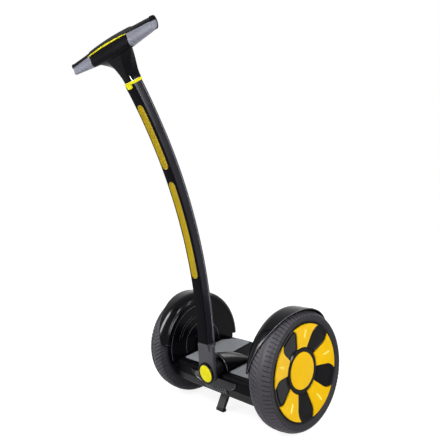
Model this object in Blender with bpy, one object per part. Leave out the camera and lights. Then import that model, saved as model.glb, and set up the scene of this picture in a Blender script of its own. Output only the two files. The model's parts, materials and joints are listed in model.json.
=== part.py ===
"""Two-wheeled self-balancing transporter with a steering stem, parked nose down on its kickstand.

Metres, +Z up. X runs across the machine, the rider faces -Y and the floor is Z = 0. The origin is
under the middle of the machine's box. Deck and stem are drawn in the deck's own frame, whose origin
is on the wheels' axis and which is pitched nose down by PARKING_PITCH.
"""
import math

import bpy
import bmesh
from mathutils import Vector

# Driving dimensions
GAP = 0.0003
PARKING_PITCH = math.radians(10)

WHEEL_RADIUS = 0.183
WHEEL_CENTRE = 0.2463
TYRE_OUTER_HALF = 0.0433
TYRE_INNER_HALF = 0.0385
BEAD_RADIUS = 0.150
TYRE_WALL = 0.0080
TYRE_BULGE_HEIGHT = 0.013
TYRE_SHOULDER = (0.0030, 0.0140)
TYRE_TREAD_EDGE = (0.0135, 0.0060)
TYRE_ROW_EDGE_DROP = 0.0028
CROWN_INNER_EDGE = -0.018
GROOVE_INNER_EDGE = 0.0050
GROOVE_OUTER_EDGE = 0.0240
GROOVE_SIDE = 0.0012
GROOVE_DEPTH = 0.0015
BEAD_WIDTH = 0.006
DRUM_HALF_WIDTH = 0.0370
DRUM_WALL = 0.0200
DRUM_LIP = 0.0035
DRUM_WEB = 0.0065
DRUM_WEB_FACE = 0.0185
MAGNET_THICKNESS = 0.0080
MAGNET_WIDTH = 0.0300
MAGNET_END_CLEARANCE = 0.0040
MOTOR_PLATE = 0.0040
MOTOR_PLATE_INSET = 0.0005
SHAFT_CLEARANCE = 0.0015
AIR_GAP = 0.0012
AXLE_RADIUS = 0.0110
AXLE_COLLAR_RADIUS = 0.0160
AXLE_COLLAR_WIDTH = 0.0055
AXLE_END = 0.0180
BEARING_OUTER_RADIUS = 0.0210
BEARING_WIDTH = 0.0100
BEARING_BOSS_WALL = 0.0090
HUB_CAP_RADIUS = 0.0559
HUB_CAP_CROWN = 0.0022
HUB_RING_WIDTH = 0.0120
HUB_RING_FACE = 0.0250
PETAL_INNER_RADIUS = 0.0700
PETAL_RIM_MARGIN = 0.0026
PETAL_INNER_FACE = 0.0257
PETAL_OUTER_FACE = 0.0417
PETAL_HALF_ANGLE = math.radians(18.0)
PETAL_FLARE_ANGLE = math.radians(24.6)
PETAL_FLARE_START = 0.112
PETAL_COUNT = 5
PETAL_FIRST_ANGLE = math.radians(17.0)
PETAL_DEPTH = 0.0080
PETAL_CLEARANCE = 0.0012
PETAL_ROOT_LAP = 0.0100
COVER_SINK = 0.0040
COVER_WALL = 0.0030
DISC_WALL = 0.0016

FENDER_INNER_FACE = 0.1935
FENDER_WALL = 0.0030
FENDER_CLEARANCE = 0.0035
FENDER_TIP_ANGLE = math.radians(15)
FENDER_WIDEST_ANGLE = math.radians(103)
FENDER_END_ANGLE = math.radians(186)
FENDER_TIP_REACH = 0.213
FENDER_WIDEST_REACH = 0.284
FENDER_EDGE_ROUND = 0.0040
FENDER_EDGE_DROP = 0.0010
FENDER_STATIONS = 28
FLANK_RADIUS = 0.154
FLANK_LAP = 0.0030
FLANK_BOTTOM = -0.030
SHOULDER_WIDTHS = (0.042, 0.026)
SHOULDER_STARTS = (0.154, 0.160)
SHOULDER_TURN_ANGLES = (math.radians(55), math.radians(130))

DECK_TOP = -0.018
DECK_PLATE = 0.0088
PARTING_LEVEL = -0.062
BODY_BOTTOM = -0.092
BODY_FRONT_TOP = -0.130
BODY_FRONT_BOTTOM = -0.121
BODY_REAR = 0.135
BODY_REAR_BOTTOM = 0.126
BODY_CORNER = 0.012
SHELL_WALL = 0.003
MAT_TOP = -0.016
MAT_THICKNESS = 0.0055
MAT_TRAVEL = 0.0020
MAT_SIDE_CLEARANCE = 0.0006
MAT_INNER_FRONT = 0.052
MAT_INNER_REAR = 0.064
MAT_OUTER = 0.1805
MAT_FRONT = -0.101
MAT_REAR = 0.122
MAT_CORNER = 0.014
MAT_REAR_CUT = 0.040

CHASSIS_FLOOR = 0.0050
END_PLATE_THICKNESS = 0.0045
END_PLATE_RADIUS = 0.030
AXLE_COVER_WALL = 0.0025
AXLE_COVER_RADIUS = 0.034
FLOOR_FRONT = -0.112
FLOOR_REAR = 0.118
PIVOT_AXIS_Z = -0.013
PIVOT_TUBE_RADIUS = 0.030
PIVOT_TUBE_BORE_CLEARANCE = 0.0004
PIVOT_TUBE_FRONT = -0.1345
PIVOT_TUBE_REAR = -0.060
PIVOT_SHAFT_RADIUS = 0.0120
PIVOT_FLANGE_RADIUS = 0.0260
PIVOT_NUT_RADIUS = 0.0180
PIVOT_NUT_THICKNESS = 0.0080
PIVOT_RUNNING_GAP = 0.0005
PIVOT_WEB_WIDTH = 0.030
HUMP_FRONT = -0.102
HUMP_TAIL = 0.014
HUMP_HALF_WIDTH = 0.046
HUMP_TAIL_NARROWING = 0.15
HUMP_HEIGHT = 0.054
HUMP_SLOPE_POWER = 0.58
HUMP_EDGE_ROUND = 0.0060
HUMP_STATIONS = 12
APRON_THICKNESS = 0.0035
APRON_HALF_WIDTH = 0.108
GRILLE_HALF_WIDTH = 0.063
GRILLE_TOP = -0.0640
GRILLE_BOTTOM = -0.0830
GRILLE_RIBS = 10
GRILLE_RIB_DEPTH = 0.0022

CAP_EDGE = 0.0012
CAP_RING_PROUD = 0.0022
CAP_RADIUS = 0.0283
CAP_RING_RADIUS = 0.0350
CAP_CROWN = 0.0022
BRACKET_HALF_WIDTH = 0.036
BRACKET_THICKNESS = 0.011
BRACKET_SHOULDER = 0.083
BRACKET_FACE_AT_PIVOT = -0.1535
BRACKET_LEAN = 0.093

STEM_BEND_RADIUS = 1.60
STEM_AFT_Y = -0.1269
STEM_AFT_Z = 0.245
STEM_TOP_Z = 0.905
STEM_BOTTOM_WIDTH = 0.044
STEM_TOP_WIDTH = 0.040
STEM_BOTTOM_DEPTH = 0.0373
STEM_TOP_DEPTH = 0.0412
STEM_STATIONS = 12
STEM_SEAT_RISE = 0.0020
STEM_CORNER = 0.006
STEM_SHELL_WALL = 0.0030
FRONT_SHELL_THICKNESS = 0.0045
CORE_WALL = 0.0030
CORE_PLUG_LENGTH = 0.034
SPIGOT_LENGTH = 0.050
SPIGOT_CLEARANCE = 0.0008
INSERT_WIDTH = 0.0290
INSERT_RECESS = 0.0010
INSERT_BACKING = 0.0016
UPPER_INSERT = (0.656, 0.850)
LOWER_INSERT = (0.300, 0.617)
COLLAR_HEIGHT = 0.0085
COLLAR_PROUD = 0.0010
COLLAR_TAB_LENGTH = 0.0100
COLLAR_TAB_WIDTH = 0.029

BAR_HEIGHT_OVER_COLLAR = 0.108
BAR_FORWARD = 0.0046
BAR_HALF_LENGTH = 0.2146
BAR_SWEEP = 0.0143
BAR_UNDERCUT = 0.35
GRIP_START = 0.1025
HEAD_HEIGHT = 0.052
HEAD_DEPTH = 0.050
GRIP_INNER_HEIGHT = 0.046
GRIP_INNER_DEPTH = 0.040
GRIP_END_HEIGHT = 0.031
GRIP_END_DEPTH = 0.023
COVER_STRIP = 0.0125
COVER_STRIP_END = 0.0100
END_CAP_LENGTH = 0.0080
BAR_TUBE_RADIUS = 0.0080
BAR_TUBE_HALF_LENGTH = 0.165
BAR_TUBE_DROP = 0.0060
NECK_START = 0.0090
NECK_TOP = 0.090
NECK_TOP_HALF_WIDTH = 0.095
NECK_FLARE_POWER = 2.1
NECK_TOP_FRONT = 0.0240
NECK_TOP_BACK = -0.0185
NECK_BACK_POWER = 3.0
NECK_CORNER_SHARE = 0.4
TRIM_HEIGHT = 0.0026
TRIM_DEPTH = 0.0018

KICKSTAND_HINGE_Y = -0.038
KICKSTAND_HINGE_DROP = 0.105
KICKSTAND_FOOT_Y = -0.073
KICKSTAND_CENTRE_X = -0.013
KICKSTAND_WIDTH = 0.032
KICKSTAND_THICKNESS = 0.012
KICKSTAND_BARREL_RADIUS = 0.0075
KICKSTAND_PIN_RADIUS = 0.0030
KICKSTAND_LUG = 0.0040
FOOT_PAD_HEIGHT = 0.010
FOOT_PAD_LENGTH = 0.0165

BATTERY_HALF_WIDTH = 0.115
BATTERY_HEIGHT = 0.036
BATTERY_FRONT = -0.020
BATTERY_REAR = 0.104
BOARD_SIZE = (0.090, 0.046, 0.012)
BOARD_CENTRE = (0.110, -0.070)
SENSOR_SIZE = (0.040, 0.030, 0.010)
SENSOR_X = 0.118
SOCKET_X = 0.100
BUTTON_X = -0.100
REAR_FITTING_Z = -0.042
SOCKET_RADIUS = 0.0095
BUTTON_RADIUS = 0.0085
BUTTON_TRAVEL = 0.0015
FLAP_RADIUS = 0.0119
FLAP_THICKNESS = 0.0020
FLAP_HINGE_DEPTH = 0.0012

WHEEL_STEPS = 32
SMALL_STEPS = 20

MATERIALS = {}


def material(name, colour, roughness, metallic=0.0):
    """A Principled material in the part's own colour."""
    made = bpy.data.materials.new(name)
    made.use_nodes = True
    shader = made.node_tree.nodes["Principled BSDF"]
    shader.inputs["Base Color"].default_value = (*colour, 1.0)
    shader.inputs["Roughness"].default_value = roughness
    shader.inputs["Metallic"].default_value = metallic
    made.diffuse_color = (*colour, 1.0)
    MATERIALS[name] = made


def facing_out(mesh):
    bmesh.ops.recalc_face_normals(mesh, faces=mesh.faces)
    if mesh.calc_volume(signed=True) < 0:
        bmesh.ops.reverse_faces(mesh, faces=mesh.faces)
    return mesh


def loft(loops, ring=False, strip_ends=False):
    """A closed skin through loops of equally many points: capped at its ends, or joined into a ring.

    Strip ends are rows of four-sided faces, for a loop that runs out along one curve and back along another.
    """
    mesh = bmesh.new()
    rows = [[mesh.verts.new(point) for point in loop] for loop in loops]
    pairs = list(zip(rows, rows[1:]))
    if ring:
        pairs.append((rows[-1], rows[0]))
    for row, following in pairs:
        for corners in zip(row, row[1:] + row[:1], following[1:] + following[:1], following):
            mesh.faces.new(corners)
    if not ring:
        for row in (rows[0], rows[-1]):
            if strip_ends:
                half = len(row) // 2
                out, back = row[:half], row[:half - 1:-1]
                for corners in zip(out, out[1:], back[1:], back):
                    mesh.faces.new(corners)
            else:
                mesh.faces.new(row)
    return facing_out(mesh)


def sleeve(outer_loops, inner_loops):
    """A tube: the space between an outer and an inner set of loops."""
    return loft(list(outer_loops) + list(inner_loops)[::-1], ring=True)


def prism(outline, low, high, across="X"):
    """A straight block: an outline in the plane square to an axis, from low to high along that axis."""
    place = {
        "X": lambda along, a, b: (along, a, b),
        "Y": lambda along, a, b: (a, along, b),
        "Z": lambda along, a, b: (a, b, along),
    }[across]
    return loft([[place(along, a, b) for a, b in outline] for along in (low, high)])


def turned(profile, steps, axis="X", closed=True):
    """A profile of (place along the axis, radius) turned once round the axis, with flats at its quarters.

    A profile that isn't closed starts and ends on the axis.
    """
    half_step = math.pi / steps
    stretch = 1 / math.cos(half_step)
    mesh = bmesh.new()
    points = []
    for along, radius in profile:
        side = radius * stretch * math.cos(half_step)
        height = radius * stretch * math.sin(half_step)
        points.append(mesh.verts.new((along, side, height) if axis == "X" else (side, along, height)))
    following = points[1:] + points[:1] if closed else points[1:]
    edges = [mesh.edges.new(pair) for pair in zip(points, following)]
    bmesh.ops.spin(
        mesh,
        geom=points + edges,
        cent=(0, 0, 0),
        axis=(1, 0, 0) if axis == "X" else (0, 1, 0),
        angle=math.tau,
        steps=steps,
        use_merge=True,
    )
    bmesh.ops.remove_doubles(mesh, verts=mesh.verts, dist=0.000001)
    return facing_out(mesh)


def rounded(corners, radii, steps=3):
    """An outline with its corners turned into arcs: one radius for all, or one each, where 0 stays sharp."""
    points = []
    for index, corner in enumerate(corners):
        here = Vector(corner)
        radius = radii[index] if isinstance(radii, (list, tuple)) else radii
        if not radius:
            points.append(tuple(corner))
            continue
        back = (Vector(corners[index - 1]) - here).normalized()
        ahead = (Vector(corners[(index + 1) % len(corners)]) - here).normalized()
        half = back.angle(ahead) / 2
        centre = here + (back + ahead).normalized() * (radius / math.sin(half))
        first = (here + back * (radius / math.tan(half)) - centre).normalized()
        last = (here + ahead * (radius / math.tan(half)) - centre).normalized()
        for step in range(steps + 1):
            points.append(tuple(centre + first.slerp(last, step / steps) * radius))
    return points


def rectangle(a_low, a_high, b_low, b_high):
    return [(a_low, b_low), (a_high, b_low), (a_high, b_high), (a_low, b_high)]


def arc(centre, radius, start, end, steps):
    """Points on an arc, with angles in radians from the first axis towards the second."""
    angles = [start + (end - start) * step / steps for step in range(steps + 1)]
    return [(centre[0] + radius * math.cos(angle), centre[1] + radius * math.sin(angle)) for angle in angles]


def circle(centre, radius, steps):
    """A many-sided round outline whose flats touch the circle."""
    half_step = math.pi / steps
    return arc(centre, radius / math.cos(half_step), half_step, math.tau - half_step, steps - 1)


def add(name, mesh, finish, parent, location=(0, 0, 0), smooth=35):
    """One sub-part: a named object with its own finish, placed in its parent's frame."""
    data = bpy.data.meshes.new(name)
    mesh.to_mesh(data)
    mesh.free()
    data.materials.append(MATERIALS[finish])
    data.shade_smooth()
    data.set_sharp_from_angle(angle=math.radians(smooth))
    made = bpy.data.objects.new(name, data)
    bpy.context.collection.objects.link(made)
    made.parent = parent
    made.location = location
    return made


def shape(target, name, mesh, operation="DIFFERENCE"):
    """Cuts a hidden guide out of a sub-part, or joins it on."""
    data = bpy.data.meshes.new(name)
    mesh.to_mesh(data)
    mesh.free()
    guide = bpy.data.objects.new(name, data)
    bpy.context.collection.objects.link(guide)
    guide.parent = target.parent
    guide.location = target.location
    guide.display_type = "WIRE"
    guide.hide_render = True
    modifier = target.modifiers.new(name, "BOOLEAN")
    modifier.object = guide
    modifier.operation = operation
    modifier.solver = "EXACT"


def edge_bevel(target, width, segments=2, angle=40):
    """Rounds the sharp edges of a block."""
    modifier = target.modifiers.new("rounded_edges", "BEVEL")
    modifier.width = width
    modifier.segments = segments
    modifier.limit_method = "ANGLE"
    modifier.angle_limit = math.radians(angle)


def frame_at(name, location, rotation=(0, 0, 0), parent=None):
    """An empty that carries sub-parts: the deck's frame, or a joint's axis."""
    empty = bpy.data.objects.new(name, None)
    bpy.context.collection.objects.link(empty)
    empty.parent = parent
    empty.location = location
    empty.rotation_euler = rotation
    return empty


def together(meshes):
    """Several closed meshes in one, for a guide that works in many places at once."""
    joined = bmesh.new()
    for mesh in meshes:
        data = bpy.data.meshes.new("guide_part")
        mesh.to_mesh(data)
        mesh.free()
        joined.from_mesh(data)
        bpy.data.meshes.remove(data)
    return joined


def pitched(y, z):
    """A point of the deck's frame as distances behind and above the wheels' axis, in the parked pose."""
    return (
        y * math.cos(PARKING_PITCH) - z * math.sin(PARKING_PITCH),
        y * math.sin(PARKING_PITCH) + z * math.cos(PARKING_PITCH),
    )


def unpitched(y, z):
    """The reverse of pitched."""
    return (
        y * math.cos(PARKING_PITCH) + z * math.sin(PARKING_PITCH),
        -y * math.sin(PARKING_PITCH) + z * math.cos(PARKING_PITCH),
    )


def between(low, high, share):
    return low + (high - low) * share


def spread(low, high, count):
    return [between(low, high, step / count) for step in range(count + 1)]


# The wheel's face

DRUM_BORE = BEAD_RADIUS - DRUM_WALL
DRUM_LIP_RADIUS = BEAD_RADIUS - DRUM_LIP
COVER_RIM = DRUM_LIP_RADIUS - GAP
PETAL_OUTER_RADIUS = COVER_RIM - PETAL_RIM_MARGIN
DISC_INNER_RADIUS = PETAL_INNER_RADIUS + PETAL_ROOT_LAP


def petal_face(radius):
    """How far the petals' dished face stands outward of the tyre's middle, at a radius."""
    share = (radius - PETAL_INNER_RADIUS) / (PETAL_OUTER_RADIUS - PETAL_INNER_RADIUS)
    return between(PETAL_INNER_FACE, PETAL_OUTER_FACE, share)


COVER_SEAT = DRUM_WEB_FACE + GAP
COVER_RIM_FACE = petal_face(COVER_RIM) - COVER_SINK


def cover_back(radius):
    """The place of the cover's rear face at a radius."""
    share = (radius - PETAL_INNER_RADIUS) / (COVER_RIM - PETAL_INNER_RADIUS)
    return between(COVER_SEAT, COVER_RIM_FACE - COVER_WALL, share)


def petal_rows(grow=0.0, flare_steps=3):
    """A petal as rows of (radius, half angle): straight sides that flare at the rim."""
    inner = PETAL_INNER_RADIUS - grow
    outer = PETAL_OUTER_RADIUS + grow
    rows = [(inner, PETAL_HALF_ANGLE + grow / inner)]
    for step in range(flare_steps + 1):
        share = step / flare_steps
        radius = between(PETAL_FLARE_START, outer, share)
        rows.append((radius, between(PETAL_HALF_ANGLE, PETAL_FLARE_ANGLE, share ** 2) + grow / radius))
    return rows


def on_wheel_face(side, along, radius, angle):
    return side * along, -radius * math.cos(angle), radius * math.sin(angle)


def petal_window(side, middle, columns=4):
    """A straight block over one petal's outline, a little larger all round."""
    rows = petal_rows(PETAL_CLEARANCE)
    outer, rim_angle = rows[-1]
    inner, root_angle = rows[0]
    outline = [(radius, angle) for radius, angle in rows]
    outline += [(outer, rim_angle * (1 - 2 * step / columns)) for step in range(1, columns)]
    outline += [(radius, -angle) for radius, angle in reversed(rows)]
    outline += [(inner, root_angle * (2 * step / columns - 1)) for step in range(1, columns)]
    ends = (-PETAL_DEPTH, PETAL_OUTER_FACE + PETAL_DEPTH)
    return loft([[on_wheel_face(side, end, radius, middle + angle) for radius, angle in outline]
                 for end in ends])


def petal(side, middle, columns=4):
    """One petal: its front follows the dished face, and its back is sunk into the disc."""
    rows = petal_rows()
    rows.insert(1, (DISC_INNER_RADIUS, PETAL_HALF_ANGLE))
    loops = []
    for radius, half_angle in rows:
        front = petal_face(radius)
        back = max(front - PETAL_DEPTH, COVER_SEAT)
        angles = [middle + half_angle * (2 * step / columns - 1) for step in range(columns + 1)]
        loop = [on_wheel_face(side, front, radius, angle) for angle in angles]
        loop += [on_wheel_face(side, back, radius, angle) for angle in reversed(angles)]
        loops.append(loop)
    return loft(loops, strip_ends=True)


def wheel(side, label, axis):
    """Everything that turns with one tyre."""

    def round_part(name, profile, finish, steps=WHEEL_STEPS, closed=True):
        outward = [(side * along, radius) for along, radius in profile]
        return add(f"{name}_{label}", turned(outward, steps, closed=closed), finish, axis)

    bulge = BEAD_RADIUS + TYRE_BULGE_HEIGHT
    shoulder_in, shoulder_drop = TYRE_SHOULDER
    tread_in, tread_drop = TYRE_TREAD_EDGE
    roof = WHEEL_RADIUS - TYRE_WALL - tread_drop
    groove = WHEEL_RADIUS - GROOVE_DEPTH
    bead_toe = DRUM_HALF_WIDTH - BEAD_WIDTH
    round_part("tyre", [
        (DRUM_HALF_WIDTH, BEAD_RADIUS),
        (TYRE_OUTER_HALF, bulge),
        (TYRE_OUTER_HALF - shoulder_in, WHEEL_RADIUS - shoulder_drop),
        (TYRE_OUTER_HALF - tread_in, WHEEL_RADIUS - tread_drop),
        (GROOVE_OUTER_EDGE, WHEEL_RADIUS - TYRE_ROW_EDGE_DROP),
        (GROOVE_OUTER_EDGE - GROOVE_SIDE, groove - TYRE_ROW_EDGE_DROP),
        (GROOVE_INNER_EDGE + GROOVE_SIDE, groove),
        (GROOVE_INNER_EDGE, WHEEL_RADIUS),
        (CROWN_INNER_EDGE, WHEEL_RADIUS),
        (tread_in - TYRE_INNER_HALF, WHEEL_RADIUS - tread_drop),
        (shoulder_in - TYRE_INNER_HALF, WHEEL_RADIUS - shoulder_drop),
        (-TYRE_INNER_HALF, bulge),
        (-DRUM_HALF_WIDTH, BEAD_RADIUS),
        (-bead_toe, BEAD_RADIUS),
        (TYRE_WALL - TYRE_INNER_HALF, bulge),
        (tread_in - TYRE_INNER_HALF, roof),
        (TYRE_OUTER_HALF - tread_in, roof),
        (TYRE_OUTER_HALF - TYRE_WALL, bulge),
        (bead_toe, BEAD_RADIUS),
    ], "tyre_rubber")

    seat = BEARING_OUTER_RADIUS + GAP
    web_back = DRUM_WEB_FACE - DRUM_WEB
    boss_back = DRUM_WEB_FACE - BEARING_WIDTH - 2 * MOTOR_PLATE_INSET
    round_part("motor_drum", [
        (-DRUM_HALF_WIDTH, BEAD_RADIUS - GAP),
        (DRUM_HALF_WIDTH, BEAD_RADIUS - GAP),
        (DRUM_HALF_WIDTH, DRUM_LIP_RADIUS),
        (DRUM_WEB_FACE, DRUM_LIP_RADIUS),
        (DRUM_WEB_FACE, seat),
        (boss_back, seat),
        (web_back, seat + BEARING_BOSS_WALL),
        (web_back, DRUM_BORE),
        (-DRUM_HALF_WIDTH, DRUM_BORE),
    ], "black_metal")

    magnet_end = web_back - MAGNET_END_CLEARANCE
    round_part("magnet_ring", [
        (magnet_end, DRUM_BORE - GAP),
        (magnet_end, DRUM_BORE - GAP - MAGNET_THICKNESS),
        (magnet_end - MAGNET_WIDTH, DRUM_BORE - GAP - MAGNET_THICKNESS),
        (magnet_end - MAGNET_WIDTH, DRUM_BORE - GAP),
    ], "steel")

    plate_face = MOTOR_PLATE_INSET - DRUM_HALF_WIDTH
    round_part("motor_plate", [
        (plate_face, DRUM_BORE - GAP),
        (plate_face, AXLE_RADIUS + SHAFT_CLEARANCE),
        (plate_face + MOTOR_PLATE, AXLE_RADIUS + SHAFT_CLEARANCE),
        (plate_face + MOTOR_PLATE, DRUM_BORE - GAP),
    ], "black_metal")

    round_part("wheel_bearing", [
        (DRUM_WEB_FACE - MOTOR_PLATE_INSET, BEARING_OUTER_RADIUS),
        (DRUM_WEB_FACE - MOTOR_PLATE_INSET, AXLE_RADIUS + GAP),
        (DRUM_WEB_FACE - MOTOR_PLATE_INSET - BEARING_WIDTH, AXLE_RADIUS + GAP),
        (DRUM_WEB_FACE - MOTOR_PLATE_INSET - BEARING_WIDTH, BEARING_OUTER_RADIUS),
    ], "steel", steps=SMALL_STEPS)

    cap_opening = HUB_CAP_RADIUS + GAP
    cover = round_part("wheel_cover", [
        (COVER_RIM_FACE, COVER_RIM),
        (petal_face(PETAL_INNER_RADIUS) - COVER_SINK, PETAL_INNER_RADIUS),
        (HUB_RING_FACE, HUB_CAP_RADIUS + HUB_RING_WIDTH),
        (HUB_RING_FACE, cap_opening),
        (COVER_SEAT, cap_opening),
        (COVER_SEAT, PETAL_INNER_RADIUS),
        (COVER_RIM_FACE - COVER_WALL, COVER_RIM),
    ], "black_plastic")
    middles = [PETAL_FIRST_ANGLE + math.tau * index / PETAL_COUNT for index in range(PETAL_COUNT)]
    windows = together([petal_window(side, middle) for middle in middles])
    shape(cover, f"petal_windows_{label}", windows)

    disc_rim = COVER_RIM - 2 * MOTOR_PLATE_INSET
    disc = round_part("petal_disc", [
        (cover_back(DISC_INNER_RADIUS) - GAP, DISC_INNER_RADIUS),
        (cover_back(disc_rim) - GAP, disc_rim),
        (cover_back(disc_rim) - GAP - DISC_WALL, disc_rim),
        (cover_back(DISC_INNER_RADIUS) - GAP - DISC_WALL, DISC_INNER_RADIUS),
    ], "yellow_plastic")
    petals = together([petal(side, middle) for middle in middles])
    shape(disc, f"petals_{label}", petals, "UNION")

    cap_edge = HUB_RING_FACE - HUB_CAP_CROWN / 2
    round_part("hub_cap", [
        (COVER_SEAT, 0.0),
        (COVER_SEAT, HUB_CAP_RADIUS),
        (cap_edge, HUB_CAP_RADIUS),
        (HUB_RING_FACE, HUB_CAP_RADIUS * 0.95),
        (HUB_RING_FACE + HUB_CAP_CROWN * 0.7, HUB_CAP_RADIUS * 0.5),
        (HUB_RING_FACE + HUB_CAP_CROWN, 0.0),
    ], "yellow_plastic", closed=False)


# The deck's own sizes

DECK_HALF_WIDTH = FENDER_INNER_FACE - FENDER_WALL / 6
END_PLATE_OUTER = DECK_HALF_WIDTH - SHELL_WALL - GAP
END_PLATE_INNER = END_PLATE_OUTER - END_PLATE_THICKNESS
FLOOR_BOTTOM = BODY_BOTTOM + SHELL_WALL + GAP
FLOOR_TOP = FLOOR_BOTTOM + CHASSIS_FLOOR
MAT_BOTTOM = MAT_TOP - MAT_THICKNESS
POCKET_FLOOR = MAT_BOTTOM - MAT_TRAVEL - GAP
DECK_UNDERSIDE = DECK_TOP - DECK_PLATE
LEG_HALF_WIDTH = KICKSTAND_WIDTH / 2
LUG_INNER = LEG_HALF_WIDTH + 2 * GAP
KICKSTAND_HINGE_Z = WHEEL_RADIUS - KICKSTAND_HINGE_DROP
HINGE_Y, HINGE_Z = unpitched(KICKSTAND_HINGE_Y, -KICKSTAND_HINGE_DROP)


def front_y(z, inset=0.0):
    """The front face of the body leans: its place at a height."""
    share = (z - DECK_TOP) / (BODY_BOTTOM - DECK_TOP)
    return between(BODY_FRONT_TOP, BODY_FRONT_BOTTOM, share) + inset


def rear_y(z, inset=0.0):
    """The rear face of the body is upright above the parting level and leans in below it."""
    share = max(0.0, (z - PARTING_LEVEL) / (BODY_BOTTOM - PARTING_LEVEL))
    return between(BODY_REAR, BODY_REAR_BOTTOM, share) - inset


def mat_outline(grow=0.0):
    """A foot mat on the +X side, as (x, y)."""
    inner_front = MAT_INNER_FRONT - grow
    inner_rear = MAT_INNER_REAR - grow
    outer = MAT_OUTER + grow
    return rounded([
        (inner_front, MAT_FRONT - grow),
        (outer, MAT_FRONT - grow),
        (outer, MAT_REAR - MAT_REAR_CUT),
        (outer - MAT_REAR_CUT, MAT_REAR + grow),
        (inner_rear, MAT_REAR + grow),
    ], [MAT_CORNER / 2, MAT_CORNER / 2, MAT_CORNER, MAT_CORNER, MAT_CORNER])


def round_the_other_side(outline):
    """An outline mirrored to the -X side."""
    return [(-x, y) for x, y in reversed(outline)]


def fender_reach(angle):
    """How far out the fender's edge stands, from the front tip round to the rear end."""
    if angle < FENDER_WIDEST_ANGLE:
        share = (angle - FENDER_TIP_ANGLE) / (FENDER_WIDEST_ANGLE - FENDER_TIP_ANGLE)
    else:
        share = (FENDER_END_ANGLE - angle) / (FENDER_END_ANGLE - FENDER_WIDEST_ANGLE)
    return between(FENDER_TIP_REACH, FENDER_WIDEST_REACH, math.sin(share * math.pi / 2))


def fender_section(angle, arc_steps=6):
    """The fender's wall at an angle round the axle, as (x, radius).

    A quarter oval rises from the flank to the crest, and a level stretch runs out to a dropped edge.
    """
    first, last = SHOULDER_TURN_ANGLES
    share = min(1.0, max(0.0, (angle - first) / (last - first)))
    width = between(*SHOULDER_WIDTHS, share)
    start = between(*SHOULDER_STARTS, share)
    rise = WHEEL_RADIUS + FENDER_CLEARANCE + FENDER_WALL - start
    reach = fender_reach(angle)
    centre = FENDER_INNER_FACE + width
    shoulder_end = min(centre, reach - FENDER_EDGE_ROUND)

    def skin(inset):
        across, up = width - inset, rise - inset
        last_turn = math.acos((centre - shoulder_end) / across)
        points = [(centre - across * math.cos(turn), start + up * math.sin(turn))
                  for turn in spread(0.0, last_turn, arc_steps)]
        return points + [(reach, points[-1][1] - FENDER_EDGE_DROP)]

    root = FLANK_RADIUS - FLANK_LAP
    outer = [(FENDER_INNER_FACE + GAP, root)] + skin(GAP)
    inner = [(FENDER_INNER_FACE + FENDER_WALL - GAP, root)] + skin(FENDER_WALL)
    return outer + inner[::-1]


def axle_side(side, label, deck):
    """One axle with its stator, and the fender and axle cover that close that end of the deck."""

    def round_part(name, profile, finish, steps, closed=True):
        outward = [(side * along, radius) for along, radius in profile]
        return add(f"{name}_{label}", turned(outward, steps, closed=closed), finish, deck)

    collar_start = FENDER_INNER_FACE + FENDER_WALL + GAP
    round_part("axle", [
        (END_PLATE_INNER + MOTOR_PLATE_INSET, 0.0),
        (END_PLATE_INNER + MOTOR_PLATE_INSET, AXLE_RADIUS),
        (collar_start, AXLE_RADIUS),
        (collar_start, AXLE_COLLAR_RADIUS),
        (collar_start + AXLE_COLLAR_WIDTH, AXLE_COLLAR_RADIUS),
        (collar_start + AXLE_COLLAR_WIDTH, AXLE_RADIUS),
        (WHEEL_CENTRE + AXLE_END, AXLE_RADIUS),
        (WHEEL_CENTRE + AXLE_END, 0.0),
    ], "steel", SMALL_STEPS, closed=False)

    rim = DRUM_BORE - GAP - MAGNET_THICKNESS - AIR_GAP
    outer_end = WHEEL_CENTRE + DRUM_WEB_FACE - DRUM_WEB - MAGNET_END_CLEARANCE
    inner_end = outer_end - MAGNET_WIDTH
    arm = MAGNET_WIDTH * 0.3
    hub = AXLE_RADIUS * 2.5
    round_part("stator", [
        (outer_end, rim),
        (outer_end - arm, AXLE_RADIUS + GAP),
        (inner_end, AXLE_RADIUS + GAP),
        (inner_end, hub),
        (inner_end + arm, rim - MAGNET_WIDTH),
        (inner_end, rim),
    ], "copper", WHEEL_STEPS)

    low_angle = math.asin(FLANK_BOTTOM / FLANK_RADIUS)
    flank = [(-y, z) for y, z in arc((0, 0), FLANK_RADIUS, low_angle, math.pi - low_angle, 32)]
    faces = sorted((side * FENDER_INNER_FACE, side * (FENDER_INNER_FACE + FENDER_WALL)))
    fender = add(f"fender_{label}", prism(flank, *faces), "black_gloss", deck)
    loops = []
    for angle in spread(FENDER_TIP_ANGLE, FENDER_END_ANGLE, FENDER_STATIONS):
        loops.append([
            (side * x, -radius * math.cos(angle), radius * math.sin(angle)) for x, radius in fender_section(angle)
        ])
    shape(fender, f"fender_band_{label}", loft(loops), "UNION")
    hole = prism(circle((0, 0), AXLE_RADIUS + SHAFT_CLEARANCE, SMALL_STEPS), *[2 * face - side * FENDER_INNER_FACE
                 - side * FENDER_WALL / 2 for face in faces])
    shape(fender, f"axle_hole_{label}", hole)

    def over_axle(radius, bottom):
        return arc((0, 0), radius, 0.0, math.pi, 12) + [(-radius, bottom), (radius, bottom)]

    inner_wall = END_PLATE_INNER - GAP
    low = sorted((side * (inner_wall - AXLE_COVER_WALL), side * DECK_HALF_WIDTH))
    cover = add(f"axle_cover_{label}", prism(over_axle(AXLE_COVER_RADIUS, DECK_TOP + GAP), *low),
                "black_gloss", deck)
    hollow = sorted((side * inner_wall, side * (DECK_HALF_WIDTH + SHELL_WALL)))
    room = over_axle(END_PLATE_RADIUS + GAP, DECK_TOP - SHELL_WALL)
    shape(cover, f"axle_cover_hollow_{label}", prism(room, *hollow))


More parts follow.
